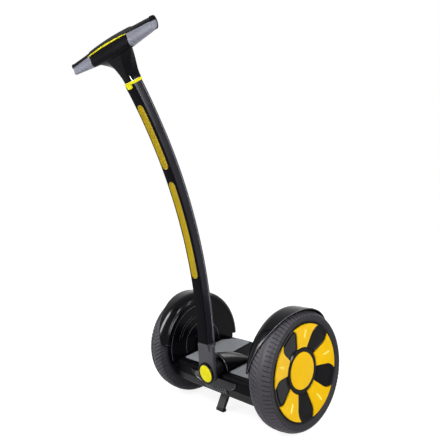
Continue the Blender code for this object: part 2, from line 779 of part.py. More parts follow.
def chassis(deck):
    """The metal tray: floor, end plates that hold the axles, pivot tube, its web and the kickstand's lugs."""
    floor = rectangle(FLOOR_FRONT, FLOOR_REAR, FLOOR_BOTTOM, FLOOR_TOP)
    frame = add("chassis_frame", prism(floor, -END_PLATE_OUTER, END_PLATE_OUTER), "black_metal", deck)
    plate = arc((0, 0), END_PLATE_RADIUS, 0.0, math.pi, 12)
    foot = END_PLATE_RADIUS * 1.6
    plate += [(-END_PLATE_RADIUS, DECK_UNDERSIDE), (-foot, FLOOR_BOTTOM + CHASSIS_FLOOR / 2)]
    plate += [(foot, FLOOR_BOTTOM + CHASSIS_FLOOR / 2), (END_PLATE_RADIUS, DECK_UNDERSIDE)]
    added = []
    for side in (-1, 1):
        low, high = sorted((side * END_PLATE_INNER, side * END_PLATE_OUTER))
        added.append(prism(plate, low, high))
        lug_low = KICKSTAND_CENTRE_X + side * LUG_INNER
        lug_high = KICKSTAND_CENTRE_X + side * (LUG_INNER + KICKSTAND_LUG)
        lug = arc((HINGE_Y, HINGE_Z), KICKSTAND_BARREL_RADIUS, math.pi, math.tau, 8)
        lug += [(HINGE_Y + KICKSTAND_BARREL_RADIUS, FLOOR_BOTTOM + CHASSIS_FLOOR / 2)]
        lug += [(HINGE_Y - KICKSTAND_BARREL_RADIUS, FLOOR_BOTTOM + CHASSIS_FLOOR / 2)]
        added.append(prism(lug, *sorted((lug_low, lug_high))))
    tube = prism(
        [(x, PIVOT_AXIS_Z + z) for x, z in circle((0, 0), PIVOT_TUBE_RADIUS, SMALL_STEPS)],
        PIVOT_TUBE_FRONT, PIVOT_TUBE_REAR, across="Y",
    )
    web = prism(
        rectangle(-PIVOT_WEB_WIDTH / 2, PIVOT_WEB_WIDTH / 2, FLOOR_BOTTOM + CHASSIS_FLOOR / 2,
                  PIVOT_AXIS_Z - PIVOT_TUBE_RADIUS * 0.8),
        FLOOR_FRONT, PIVOT_TUBE_REAR - SHELL_WALL, across="Y",
    )
    shape(frame, "chassis_plates", together(added), "UNION")
    shape(frame, "pivot_web", web, "UNION")
    shape(frame, "pivot_tube", tube, "UNION")
    bore = [(x, PIVOT_AXIS_Z + z) for x, z in
            circle((0, 0), PIVOT_SHAFT_RADIUS + PIVOT_TUBE_BORE_CLEARANCE, SMALL_STEPS)]
    reach = 2 * PIVOT_TUBE_RADIUS
    holes = [
        prism(bore, PIVOT_TUBE_FRONT - reach, PIVOT_TUBE_REAR + reach, across="Y"),
        prism(circle((HINGE_Y, HINGE_Z), KICKSTAND_PIN_RADIUS + GAP, 16),
              KICKSTAND_CENTRE_X - KICKSTAND_WIDTH, KICKSTAND_CENTRE_X + KICKSTAND_WIDTH),
    ]
    for side in (-1, 1):
        low, high = sorted((side * (END_PLATE_INNER - reach), side * (END_PLATE_OUTER + reach)))
        holes.append(prism(circle((0, 0), AXLE_RADIUS + GAP, SMALL_STEPS), low, high))
    shape(frame, "chassis_bores", together(holes))


def shells(deck):
    """The body's upper and lower shells."""
    upper_outline = rounded([
        (front_y(PARTING_LEVEL), PARTING_LEVEL),
        (BODY_FRONT_TOP, DECK_TOP),
        (BODY_REAR, DECK_TOP),
        (BODY_REAR, PARTING_LEVEL),
    ], [0, BODY_CORNER, BODY_CORNER, 0], steps=4)
    upper = add("upper_shell", prism(upper_outline, -DECK_HALF_WIDTH, DECK_HALF_WIDTH), "black_gloss", deck)
    inside = DECK_HALF_WIDTH - SHELL_WALL
    under = PARTING_LEVEL - SHELL_WALL
    room = [
        (front_y(under, SHELL_WALL), under),
        (front_y(DECK_UNDERSIDE, SHELL_WALL), DECK_UNDERSIDE),
        (rear_y(DECK_UNDERSIDE, SHELL_WALL), DECK_UNDERSIDE),
        (BODY_REAR - SHELL_WALL, under),
    ]
    shape(upper, "upper_room", prism(room, -inside, inside))
    above = DECK_TOP + BODY_CORNER
    pocket = mat_outline(MAT_SIDE_CLEARANCE)
    plate_reach = END_PLATE_RADIUS + 2 * GAP
    nut_room = PIVOT_TUBE_REAR + PIVOT_NUT_THICKNESS + 2 * SHELL_WALL
    tube_room = circle((0, PIVOT_AXIS_Z), PIVOT_TUBE_RADIUS + 2 * GAP, SMALL_STEPS)
    openings = [
        prism(pocket, POCKET_FLOOR, above, across="Z"),
        prism(round_the_other_side(pocket), POCKET_FLOOR, above, across="Z"),
        prism(tube_room, BODY_FRONT_TOP - BODY_CORNER, nut_room, across="Y"),
        prism(circle((SOCKET_X, REAR_FITTING_Z), SOCKET_RADIUS + GAP, SMALL_STEPS),
              BODY_REAR - 2 * SHELL_WALL, BODY_REAR + SHELL_WALL, across="Y"),
        prism(circle((BUTTON_X, REAR_FITTING_Z), BUTTON_RADIUS + GAP, SMALL_STEPS),
              BODY_REAR - 2 * SHELL_WALL, BODY_REAR + SHELL_WALL, across="Y"),
    ]
    for side in (-1, 1):
        low, high = sorted((side * (END_PLATE_INNER - GAP), side * (END_PLATE_OUTER + GAP / 2)))
        slot = rectangle(-plate_reach, plate_reach, DECK_UNDERSIDE - SHELL_WALL, above)
        openings.append(prism(slot, low, high))
    shape(upper, "upper_openings", together(openings))

    lower_top = PARTING_LEVEL - GAP
    lower_outline = rounded([
        (front_y(lower_top), lower_top),
        (BODY_FRONT_BOTTOM, BODY_BOTTOM),
        (BODY_REAR_BOTTOM, BODY_BOTTOM),
        (rear_y(lower_top), lower_top),
    ], [0, BODY_CORNER / 2, BODY_CORNER / 2, 0], steps=4)
    lower = add("lower_shell", prism(lower_outline, -DECK_HALF_WIDTH, DECK_HALF_WIDTH), "black_plastic", deck)
    floor = BODY_BOTTOM + SHELL_WALL
    tray = [
        (front_y(PARTING_LEVEL + SHELL_WALL, SHELL_WALL), PARTING_LEVEL + SHELL_WALL),
        (front_y(floor, SHELL_WALL), floor),
        (rear_y(floor, SHELL_WALL), floor),
        (rear_y(PARTING_LEVEL, SHELL_WALL), PARTING_LEVEL),
        (rear_y(PARTING_LEVEL, SHELL_WALL), PARTING_LEVEL + SHELL_WALL),
    ]
    shape(lower, "lower_room", prism(tray, -inside, inside))
    slot_half = LUG_INNER + KICKSTAND_LUG + 2 * GAP
    slot_rear = HINGE_Y + 2.6 * KICKSTAND_THICKNESS
    shape(lower, "kickstand_slot", prism(
        rectangle(KICKSTAND_CENTRE_X - slot_half, KICKSTAND_CENTRE_X + slot_half,
                  HINGE_Y - KICKSTAND_THICKNESS, slot_rear),
        BODY_BOTTOM - SHELL_WALL, floor + GAP / 2, across="Z",
    ))


def arch(y, half_width, height, base, steps=14):
    """Half an oval that stands on the deck, as points across it."""
    turns = [math.pi * step / steps for step in range(steps + 1)]
    return [(-half_width * math.cos(turn), y, base + height * math.sin(turn)) for turn in turns]


def pivot_cover(deck):
    """The round cover over the pivot tube, with a tail that runs down to the deck."""
    base = DECK_TOP + GAP
    tube_width = PIVOT_TUBE_RADIUS + 7 * GAP
    tube_height = PIVOT_AXIS_Z - base + PIVOT_TUBE_RADIUS + 7 * GAP
    wall = SHELL_WALL

    def station(y, edge=0.0):
        """Half width and height of the sloping cover, less what the rounded front edge takes off."""
        along = (y - HUMP_FRONT) / (HUMP_TAIL - HUMP_FRONT)
        width = HUMP_HALF_WIDTH * (1 - HUMP_TAIL_NARROWING * along) - edge
        return width, max(2 * wall, HUMP_HEIGHT * (1 - along) ** HUMP_SLOPE_POWER) - edge

    rows = []
    for turn in spread(0.0, math.pi / 2, 3):
        y = HUMP_FRONT + HUMP_EDGE_ROUND * (1 - math.cos(turn))
        rows.append((y, *station(y, HUMP_EDGE_ROUND * (1 - math.sin(turn))), tube_width, tube_height))
    room_start = HUMP_FRONT + HUMP_EDGE_ROUND + GAP
    for y in spread(room_start, HUMP_TAIL, HUMP_STATIONS):
        width, height = station(y)
        rows.append((y, width, height, width - wall, height - wall))
    loops = []
    for y, width, height, inner_width, inner_height in rows:
        outer = arch(y, width, height, base)
        inner = arch(y, inner_width, inner_height, base)
        loops.append(outer + inner[::-1])
    add("pivot_cover", loft(loops), "black_gloss", deck)


def front_pieces(deck):
    """The U-shaped apron round the pivot tube, and the ribbed grille under it."""
    notch = PIVOT_TUBE_RADIUS + 7 * GAP
    top = DECK_TOP - BODY_CORNER - 2 * GAP
    bottom = GRILLE_TOP + 2 * GAP
    drop = PIVOT_AXIS_Z - top
    notch_angle = math.asin(drop / notch)
    under_tube = arc((0, PIVOT_AXIS_Z), notch, math.pi + notch_angle, math.tau - notch_angle, 10)
    flank = [
        (APRON_HALF_WIDTH, top),
        (APRON_HALF_WIDTH * 0.94, between(top, bottom, 0.46)),
        (APRON_HALF_WIDTH * 0.79, between(top, bottom, 0.80)),
        (GRILLE_HALF_WIDTH * 1.02, bottom),
    ]
    outline = under_tube + flank + [(-x, z) for x, z in reversed(flank)]
    loops = []
    for depth in (GAP, GAP + APRON_THICKNESS):
        loops.append([(x, front_y(z) - depth, z) for x, z in outline])
    add("front_apron", loft(loops), "black_gloss", deck)

    pitch = 2 * GRILLE_HALF_WIDTH / (GRILLE_RIBS + 1)
    plate = GRILLE_RIB_DEPTH
    slant = pitch * 0.8
    loops = []
    for z, shift, squeeze in ((GRILLE_TOP, -slant / 2, 1.0), (GRILLE_BOTTOM, slant / 2, 0.86)):
        face = front_y(z) - GAP
        front = []
        for rib in range(GRILLE_RIBS):
            middle = (rib - (GRILLE_RIBS - 1) / 2) * pitch
            front += [(middle - pitch * 0.36, plate), (middle - pitch * 0.22, plate + GRILLE_RIB_DEPTH)]
            front += [(middle + pitch * 0.22, plate + GRILLE_RIB_DEPTH), (middle + pitch * 0.36, plate)]
        outline = [(-GRILLE_HALF_WIDTH, 0.0), (-GRILLE_HALF_WIDTH, plate)] + front
        outline += [(GRILLE_HALF_WIDTH, plate), (GRILLE_HALF_WIDTH, 0.0)]
        loops.append([(x * squeeze + shift, face - depth, z) for x, depth in outline])
    add("front_grille", loft(loops), "black_plastic", deck)


def block(name, centre, size, finish, parent, bevel):
    """A plain box with rounded edges, between named faces."""
    outline = rectangle(centre[0] - size[0] / 2, centre[0] + size[0] / 2,
                        centre[1] - size[1] / 2, centre[1] + size[1] / 2)
    made = add(name, prism(outline, centre[2] - size[2] / 2, centre[2] + size[2] / 2, across="Z"), finish, parent)
    edge_bevel(made, bevel)
    return made


def inside_the_deck(deck):
    """Battery, control board and the foot sensors."""
    battery_length = BATTERY_REAR - BATTERY_FRONT
    block("battery_pack", (0, (BATTERY_FRONT + BATTERY_REAR) / 2, FLOOR_TOP + GAP + BATTERY_HEIGHT / 2),
          (2 * BATTERY_HALF_WIDTH, battery_length, BATTERY_HEIGHT), "battery_wrap", deck, 0.004)
    block("control_board", (*BOARD_CENTRE, FLOOR_TOP + GAP + BOARD_SIZE[2] / 2), BOARD_SIZE, "circuit_green",
          deck, 0.001)
    for side, label in ((-1, "right"), (1, "left")):
        place = (side * SENSOR_X, (MAT_FRONT + MAT_REAR) / 2, DECK_UNDERSIDE - GAP - SENSOR_SIZE[2] / 2)
        block(f"foot_sensor_{label}", place, SENSOR_SIZE, "black_plastic", deck, 0.001)


def foot_mats(deck):
    """Two mats that sink on their sensors."""
    for side, label in ((-1, "right"), (1, "left")):
        outline = mat_outline() if side > 0 else round_the_other_side(mat_outline())
        centre = (side * SENSOR_X, (MAT_FRONT + MAT_REAR) / 2, MAT_TOP)
        moved = [(x - centre[0], y - centre[1]) for x, y in outline]
        add(f"foot_mat_{label}", prism(moved, -MAT_THICKNESS, 0.0, across="Z"), "grey_rubber", deck, centre)


# The stem: one arc in the deck's frame, from the bracket's shoulder to the collar

STEM_BOTTOM_Z = BRACKET_SHOULDER + STEM_SEAT_RISE


def stem_frame(z, beyond=0.0):
    """Where the stem's centre line is at a height, with its directions along the stem and forward.

    Beyond the height it runs on straight.
    """
    bend = math.asin((z - STEM_AFT_Z) / STEM_BEND_RADIUS)
    along = Vector((0, -math.sin(bend), math.cos(bend)))
    forward = Vector((0, -math.cos(bend), -math.sin(bend)))
    centre = Vector((0, STEM_AFT_Y - STEM_BEND_RADIUS * (1 - math.cos(bend)), z)) + along * beyond
    return centre, along, forward


def stem_size(z):
    """The stem's width and depth at a height."""
    share = (z - STEM_BOTTOM_Z) / (STEM_TOP_Z - STEM_BOTTOM_Z)
    return (
        between(STEM_BOTTOM_WIDTH, STEM_TOP_WIDTH, share),
        between(STEM_BOTTOM_DEPTH, STEM_TOP_DEPTH, share),
    )


def section_at(outline, z, beyond=0.0):
    """An outline of (x, distance forward) carried to a place on the stem."""
    centre, _, forward = stem_frame(z, beyond)
    return [centre + Vector((x, 0, 0)) + forward * depth for x, depth in outline]


def stem_heights(low=None, high=None, count=None):
    low = STEM_BOTTOM_Z if low is None else low
    high = STEM_TOP_Z if high is None else high
    count = STEM_STATIONS if count is None else count
    return [between(low, high, step / count) for step in range(count + 1)]


def core_outline(width, depth, inset=0.0):
    """The core tube's section inside the shells."""
    side = width / 2 - STEM_SHELL_WALL - GAP - inset
    back = -depth / 2 + STEM_SHELL_WALL + GAP + inset
    front = depth / 2 - FRONT_SHELL_THICKNESS - 2 * GAP - inset
    return [(-side, back), (side, back), (side, front), (-side, front)]


def rear_shell_outline(width, depth):
    """A channel round the core: rounded outside at the back, open at the front."""
    side = width / 2
    front = depth / 2 - FRONT_SHELL_THICKNESS - GAP
    inner = side - STEM_SHELL_WALL
    inner_back = -depth / 2 + STEM_SHELL_WALL
    outer = rounded([(side, front), (side, -depth / 2), (-side, -depth / 2), (-side, front)],
                    [0, STEM_CORNER, STEM_CORNER, 0])
    return outer + [(-inner, front), (-inner, inner_back), (inner, inner_back), (inner, front)]


def front_shell_outline(width, depth):
    side = width / 2
    back = depth / 2 - FRONT_SHELL_THICKNESS
    corner = FRONT_SHELL_THICKNESS * 0.6
    return rounded([(-side, back), (side, back), (side, depth / 2), (-side, depth / 2)],
                   [0, 0, corner, corner], steps=2)


def insert_strip(low, high, grow, back, front):
    """A strip along the stem's front with round ends, between two depths under the front face."""
    half = INSERT_WIDTH / 2 + grow
    rows = []
    end_steps = 4
    for step in range(end_steps + 1):
        turn = math.pi / 2 * (step + 0.5) / (end_steps + 0.5)
        rows.append((low - grow + half * (1 - math.cos(turn)), half * math.sin(turn)))
    mirrored = [(low + high - z, width) for z, width in reversed(rows)]
    middle = [(z, half) for z in stem_heights(rows[-1][0], mirrored[0][0], 6)[1:-1]]
    loops = []
    for z, width in rows + middle + mirrored:
        face = stem_size(z)[1] / 2
        outline = [(-width, face - back), (width, face - back), (width, face - front), (-width, face - front)]
        loops.append(section_at(outline, z))
    return loft(loops)


def stem_pieces(stem, pivot):
    """The curved stem: core tube, rear and front shells, inserts and collar."""
    at_rest = -Vector(pivot)
    heights = stem_heights()
    outer = [section_at(core_outline(*stem_size(z)), z) for z in heights]
    inner = [section_at(core_outline(*stem_size(z), inset=CORE_WALL), z) for z in heights]
    top = stem_size(STEM_TOP_Z)
    outer.append(section_at(core_outline(*top), STEM_TOP_Z, CORE_PLUG_LENGTH))
    inner.append(section_at(core_outline(*top, inset=CORE_WALL), STEM_TOP_Z, CORE_PLUG_LENGTH))
    add("stem_core", sleeve(outer, inner), "bare_metal", stem, at_rest)

    rear = [section_at(rear_shell_outline(*stem_size(z)), z) for z in heights]
    add("stem_rear_shell", loft(rear), "stem_gloss", stem, at_rest)
    front = [section_at(front_shell_outline(*stem_size(z)), z) for z in heights]
    front_shell = add("stem_front_shell", loft(front), "black_plastic", stem, at_rest)
    recess = INSERT_RECESS + INSERT_BACKING + GAP
    windows = [insert_strip(low, high, GAP, recess, -FRONT_SHELL_THICKNESS)
               for low, high in (LOWER_INSERT, UPPER_INSERT)]
    shape(front_shell, "insert_windows", together(windows))
    for name, (low, high) in (("stem_insert_lower", LOWER_INSERT), ("stem_insert_upper", UPPER_INSERT)):
        strip = insert_strip(low, high, -GAP, INSERT_RECESS + INSERT_BACKING, INSERT_RECESS)
        add(name, strip, "yellow_plastic", stem, at_rest)

    width, depth = top
    band = rounded(rectangle(-width / 2 - COLLAR_PROUD, width / 2 + COLLAR_PROUD,
                             -depth / 2 - COLLAR_PROUD, depth / 2 + COLLAR_PROUD), STEM_CORNER)
    grown_core = core_outline(*top, inset=-GAP)
    opening = rounded(grown_core, GAP)
    ends = (GAP, COLLAR_HEIGHT)
    collar_mesh = sleeve([section_at(band, STEM_TOP_Z, end) for end in ends],
                         [section_at(opening, STEM_TOP_Z, end) for end in ends])
    collar = add("collar", collar_mesh, "yellow_plastic", stem, at_rest)
    tab_loops = []
    tab_back = depth / 2 + 2 * GAP
    tab_front = depth / 2 + COLLAR_PROUD + GAP
    for beyond, share in ((COLLAR_HEIGHT / 2, 1.0), (-COLLAR_TAB_LENGTH * 0.7, 0.94), (-COLLAR_TAB_LENGTH, 0.7)):
        half = COLLAR_TAB_WIDTH / 2 * share
        tab = [(-half, tab_back), (half, tab_back), (half, tab_front), (-half, tab_front)]
        tab_loops.append(section_at(tab, STEM_TOP_Z, beyond))
    shape(collar, "collar_tab", loft(tab_loops), "UNION")


def plate_face(z):
    """The bracket plate leans with its foot forward: its front face at a height."""
    return BRACKET_FACE_AT_PIVOT + BRACKET_LEAN * (z - PIVOT_AXIS_Z)


def steering_pivot(stem, pivot):
    """Bracket plate with its ring, heel and spigot; pivot shaft, nut and cap."""
    at_rest = -Vector(pivot)
    foot = arc((0, PIVOT_AXIS_Z), BRACKET_HALF_WIDTH, math.pi, math.tau, 14)
    shoulder = BRACKET_SHOULDER
    corner = BRACKET_HALF_WIDTH / 6
    outline = foot + [
        (BRACKET_HALF_WIDTH, shoulder - corner),
        (BRACKET_HALF_WIDTH - corner, shoulder),
        (-BRACKET_HALF_WIDTH + corner, shoulder),
        (-BRACKET_HALF_WIDTH, shoulder - corner),
    ]
    loops = [[(x, plate_face(z) + depth, z) for x, z in outline] for depth in (0.0, BRACKET_THICKNESS)]
    bracket = add("stem_bracket", loft(loops), "grey_metal", stem, at_rest)

    core = core_outline(*stem_size(STEM_BOTTOM_Z), inset=CORE_WALL + SPIGOT_CLEARANCE)
    spigot_low = STEM_BOTTOM_Z - corner
    spigot = [section_at(core, z) for z in (spigot_low, STEM_BOTTOM_Z + SPIGOT_LENGTH / 2,
                                            STEM_BOTTOM_Z + SPIGOT_LENGTH)]
    heel_half = STEM_BOTTOM_WIDTH / 2
    centre, along, forward = stem_frame(STEM_BOTTOM_Z)
    seat = [centre - along * GAP + forward * STEM_BOTTOM_DEPTH * share for share in (0.5, -0.5)]
    low = shoulder - 5 * corner
    heel = prism([(point.y, point.z) for point in seat] + [
        (seat[1].y, seat[1].z - corner),
        (plate_face(low) + BRACKET_THICKNESS - GAP, low),
        (plate_face(low) + GAP, low),
        (seat[0].y, seat[0].z - corner),
    ], -heel_half, heel_half)
    cap_back = plate_face(PIVOT_AXIS_Z - CAP_RADIUS) - GAP
    ring_front = cap_back - CAP_RING_PROUD
    ring = turned([
        (ring_front, CAP_RADIUS + GAP),
        (ring_front, CAP_RING_RADIUS),
        (plate_face(PIVOT_AXIS_Z) + BRACKET_THICKNESS / 2, CAP_RING_RADIUS),
        (plate_face(PIVOT_AXIS_Z) + BRACKET_THICKNESS / 2, CAP_RADIUS + GAP),
    ], WHEEL_STEPS, axis="Y")
    bmesh.ops.translate(ring, vec=(0, 0, PIVOT_AXIS_Z), verts=ring.verts)
    shape(bracket, "bracket_spigot", loft(spigot), "UNION")
    shape(bracket, "bracket_heel", heel, "UNION")
    shape(bracket, "bracket_ring", ring, "UNION")
    shaft_hole = circle((0, PIVOT_AXIS_Z), PIVOT_SHAFT_RADIUS + GAP, SMALL_STEPS)
    shape(bracket, "bracket_bore", prism(shaft_hole, cap_back + GAP, PIVOT_TUBE_FRONT, across="Y"))

    centre_line = (0, 0, PIVOT_AXIS_Z + at_rest.z)
    flange_front = plate_face(PIVOT_AXIS_Z + PIVOT_FLANGE_RADIUS) + BRACKET_THICKNESS + GAP
    flange_rear = PIVOT_TUBE_FRONT - PIVOT_RUNNING_GAP
    shaft_end = PIVOT_TUBE_REAR + PIVOT_NUT_THICKNESS + 2 * PIVOT_RUNNING_GAP
    shaft = turned([
        (plate_face(PIVOT_AXIS_Z) + GAP, 0.0),
        (plate_face(PIVOT_AXIS_Z) + GAP, PIVOT_SHAFT_RADIUS),
        (flange_front, PIVOT_SHAFT_RADIUS),
        (flange_front, PIVOT_FLANGE_RADIUS),
        (flange_rear, PIVOT_FLANGE_RADIUS),
        (flange_rear, PIVOT_SHAFT_RADIUS),
        (shaft_end, PIVOT_SHAFT_RADIUS),
        (shaft_end, 0.0),
    ], SMALL_STEPS, axis="Y", closed=False)
    axis_place = (0, at_rest.y, centre_line[2])
    add("pivot_shaft", shaft, "steel", stem, axis_place)
    nut_front = PIVOT_TUBE_REAR + PIVOT_RUNNING_GAP
    nut = [(PIVOT_NUT_RADIUS * math.cos(math.pi * k / 3), PIVOT_NUT_RADIUS * math.sin(math.pi * k / 3))
           for k in range(6)]
    nut_mesh = prism(nut, nut_front, nut_front + PIVOT_NUT_THICKNESS, across="Y")
    made = add("pivot_nut", nut_mesh, "steel", stem, axis_place)
    nut_hole = circle((0, 0), PIVOT_SHAFT_RADIUS + GAP, SMALL_STEPS)
    shape(made, "nut_bore", prism(nut_hole, nut_front - PIVOT_NUT_THICKNESS,
                                  nut_front + 2 * PIVOT_NUT_THICKNESS, across="Y"))
    edge = cap_back - CAP_EDGE
    cap = turned([
        (cap_back, 0.0),
        (cap_back, CAP_RADIUS),
        (edge, CAP_RADIUS),
        (edge - CAP_CROWN * 0.6, CAP_RADIUS * 0.8),
        (edge - CAP_CROWN, CAP_RADIUS * 0.4),
        (edge - CAP_CROWN, 0.0),
    ], WHEEL_STEPS, axis="Y", closed=False)
    add("pivot_cap", cap, "yellow_plastic", stem, axis_place)


# The handlebar head, in directions along the stem's top and forward of it

SECTION_POWER = 0.7


def head_point(x, forward_by, up_by):
    """A point of the bar, whose ends sweep forward of its middle."""
    centre, along, forward = stem_frame(STEM_TOP_Z)
    swept = BAR_FORWARD + forward_by + BAR_SWEEP * (x / BAR_HALF_LENGTH) ** 2
    return centre + Vector((x, 0, 0)) + forward * swept + along * (BAR_HEIGHT_OVER_COLLAR + up_by)


def bar_point(height, depth, turn):
    """A point of the handlebar's rounded section, as (forward, up), undercut behind its lower front edge."""
    side = math.copysign(abs(math.cos(turn)) ** SECTION_POWER, math.cos(turn))
    rise = math.copysign(abs(math.sin(turn)) ** SECTION_POWER, math.sin(turn))
    return depth / 2 * side - BAR_UNDERCUT * height / 2 * min(rise, 0.0), height / 2 * rise


def split_turn(height, strip):
    """Where on the section the top cover meets what is below it."""
    return math.asin(((height / 2 - strip) / (height / 2)) ** (1 / SECTION_POWER))


def lower_section(height, depth, strip, steps=11):
    low_turn = math.pi - split_turn(height, strip + GAP / 2)
    turns = [low_turn + (math.tau + math.pi - 2 * low_turn) * step / steps for step in range(steps + 1)]
    return [bar_point(height, depth, turn) for turn in turns]


def upper_section(height, depth, strip, steps=6):
    low_turn = split_turn(height, strip - GAP / 2)
    turns = [low_turn + (math.pi - 2 * low_turn) * step / steps for step in range(steps + 1)]
    return [bar_point(height, depth, turn) for turn in turns]


def bar_size(x):
    """Height, depth and top strip of the bar at a distance from its middle."""
    away = abs(x)
    if away <= GRIP_START:
        share = (away / GRIP_START) ** 2
        return (
            between(HEAD_HEIGHT, GRIP_INNER_HEIGHT, share),
            between(HEAD_DEPTH, GRIP_INNER_DEPTH, share),
            COVER_STRIP,
        )
    share = (away - GRIP_START) / (BAR_HALF_LENGTH - GRIP_START)
    return (
        between(GRIP_INNER_HEIGHT, GRIP_END_HEIGHT, share),
        between(GRIP_INNER_DEPTH, GRIP_END_DEPTH, share),
        between(COVER_STRIP, COVER_STRIP_END, share),
    )


def bar_loft(places, section):
    return loft([[head_point(x, *point) for point in section(*bar_size(x))] for x in places])


def trim_reach(x):
    """How far forward the trim strip's rear face stands."""
    height, depth, strip = bar_size(x)
    lowest = strip + TRIM_HEIGHT
    return bar_point(height, depth, split_turn(height, lowest))[0] + GAP


def head(stem, pivot):
    """Lower housing with its neck, top cover, grips, end caps, trim strip and the tube inside."""
    at_rest = -Vector(pivot)
    barrel = bar_loft(spread(-GRIP_START, GRIP_START, 8), lower_section)
    housing = add("head_housing", barrel, "black_plastic", stem, at_rest)
    neck_loops = []
    bottom_half = STEM_TOP_WIDTH / 2
    for step in range(7):
        share = step / 6
        half = between(bottom_half, NECK_TOP_HALF_WIDTH, share ** NECK_FLARE_POWER)
        back = between(STEM_TOP_DEPTH / 2, NECK_TOP_BACK, share ** NECK_BACK_POWER)
        front = between(STEM_TOP_DEPTH / 2, NECK_TOP_FRONT, share)
        corner = min(STEM_CORNER, NECK_CORNER_SHARE * (front + back))
        outline = rounded(rectangle(-half, half, -back, front), corner)
        neck_loops.append(section_at(outline, STEM_TOP_Z, between(NECK_START, NECK_TOP, share)))
    shape(housing, "neck", loft(neck_loops), "UNION")
    socket = core_outline(*stem_size(STEM_TOP_Z), inset=-GAP)
    socket_ends = (NECK_START - CORE_WALL, CORE_PLUG_LENGTH + GAP)
    shape(housing, "core_socket", loft([section_at(socket, STEM_TOP_Z, end) for end in socket_ends]))

    tube_drop = -BAR_TUBE_DROP

    def tube_loops(radius, half_length):
        around = circle((0, tube_drop), radius, 16)
        return loft([[head_point(x, *point) for point in around] for x in (-half_length, half_length)])

    add("bar_tube", tube_loops(BAR_TUBE_RADIUS, BAR_TUBE_HALF_LENGTH), "bare_metal", stem, at_rest)
    bore = BAR_TUBE_RADIUS + GAP
    shape(housing, "housing_bore", tube_loops(bore, BAR_TUBE_HALF_LENGTH + GAP))

    cap_start = BAR_HALF_LENGTH - END_CAP_LENGTH
    for side, label in ((-1, "right"), (1, "left")):
        places = spread(side * (GRIP_START + GAP), side * (cap_start - GAP), 4)
        grip = add(f"grip_{label}", bar_loft(places, lower_section), "silver_rubber", stem, at_rest)
        shape(grip, f"grip_bore_{label}", tube_loops(bore, BAR_TUBE_HALF_LENGTH + GAP))
        loops = []
        for x, share in ((cap_start, 1.0), (cap_start + END_CAP_LENGTH / 2, 0.97), (BAR_HALF_LENGTH, 0.78)):
            height, depth, _ = bar_size(x)
            turns = [math.tau * step / 14 for step in range(14)]
            loops.append([head_point(side * x, *bar_point(height * share, depth * share, turn))
                          for turn in turns])
        add(f"end_cap_{label}", loft(loops), "black_gloss", stem, at_rest)

    cover_half = cap_start - GAP
    places = spread(-cover_half, -GRIP_START, 3) + spread(-GRIP_START, GRIP_START, 8)[1:-1]
    places += spread(GRIP_START, cover_half, 3)
    add("head_top_cover", bar_loft(places, upper_section), "black_gloss", stem, at_rest)

    trim_loops = []
    for x in spread(-GRIP_START, GRIP_START, 8):
        height, depth, strip = bar_size(x)
        middle = height / 2 - strip
        back = trim_reach(x)
        trim_loops.append([head_point(x, back + forward_by, middle + up_by) for forward_by, up_by in (
            (0, -TRIM_HEIGHT / 2), (TRIM_DEPTH, -TRIM_HEIGHT / 2), (TRIM_DEPTH, TRIM_HEIGHT / 2),
            (0, TRIM_HEIGHT / 2))])
    add("trim_strip", loft(trim_loops), "yellow_plastic", stem, at_rest)


def kickstand(stand):
    """A flat leg on its pin, with a rubber foot that is flat on the floor."""
    foot_y = KICKSTAND_FOOT_Y - KICKSTAND_HINGE_Y
    foot_top = FOOT_PAD_HEIGHT - KICKSTAND_HINGE_Z
    lean = math.atan2(foot_y, -foot_top)
    barrel = arc((0, 0), KICKSTAND_BARREL_RADIUS, lean, lean + math.pi, 8)
    reach = KICKSTAND_THICKNESS / 2 / math.cos(lean)
    outline = barrel + [(foot_y - reach, foot_top + GAP), (foot_y + reach, foot_top + GAP)]
    low = KICKSTAND_CENTRE_X - LEG_HALF_WIDTH
    high = KICKSTAND_CENTRE_X + LEG_HALF_WIDTH
    leg = add("kickstand_leg", prism(outline, low, high), "black_metal", stand)
    pin_room = circle((0, 0), KICKSTAND_PIN_RADIUS + GAP, 16)
    shape(leg, "leg_bore", prism(pin_room, low - LEG_HALF_WIDTH, high + LEG_HALF_WIDTH))
    pad_half = FOOT_PAD_LENGTH / 2
    pad = rounded(rectangle(foot_y - pad_half, foot_y + pad_half, -KICKSTAND_HINGE_Z, foot_top),
                  FOOT_PAD_HEIGHT / 5, steps=2)
    add("kickstand_foot", prism(pad, low, high), "black_rubber", stand)


def kickstand_pin(deck):
    reach = LUG_INNER + KICKSTAND_LUG
    pin = prism(circle((HINGE_Y, HINGE_Z), KICKSTAND_PIN_RADIUS, 16),
                KICKSTAND_CENTRE_X - reach, KICKSTAND_CENTRE_X + reach)
    add("kickstand_pin", pin, "steel", deck)


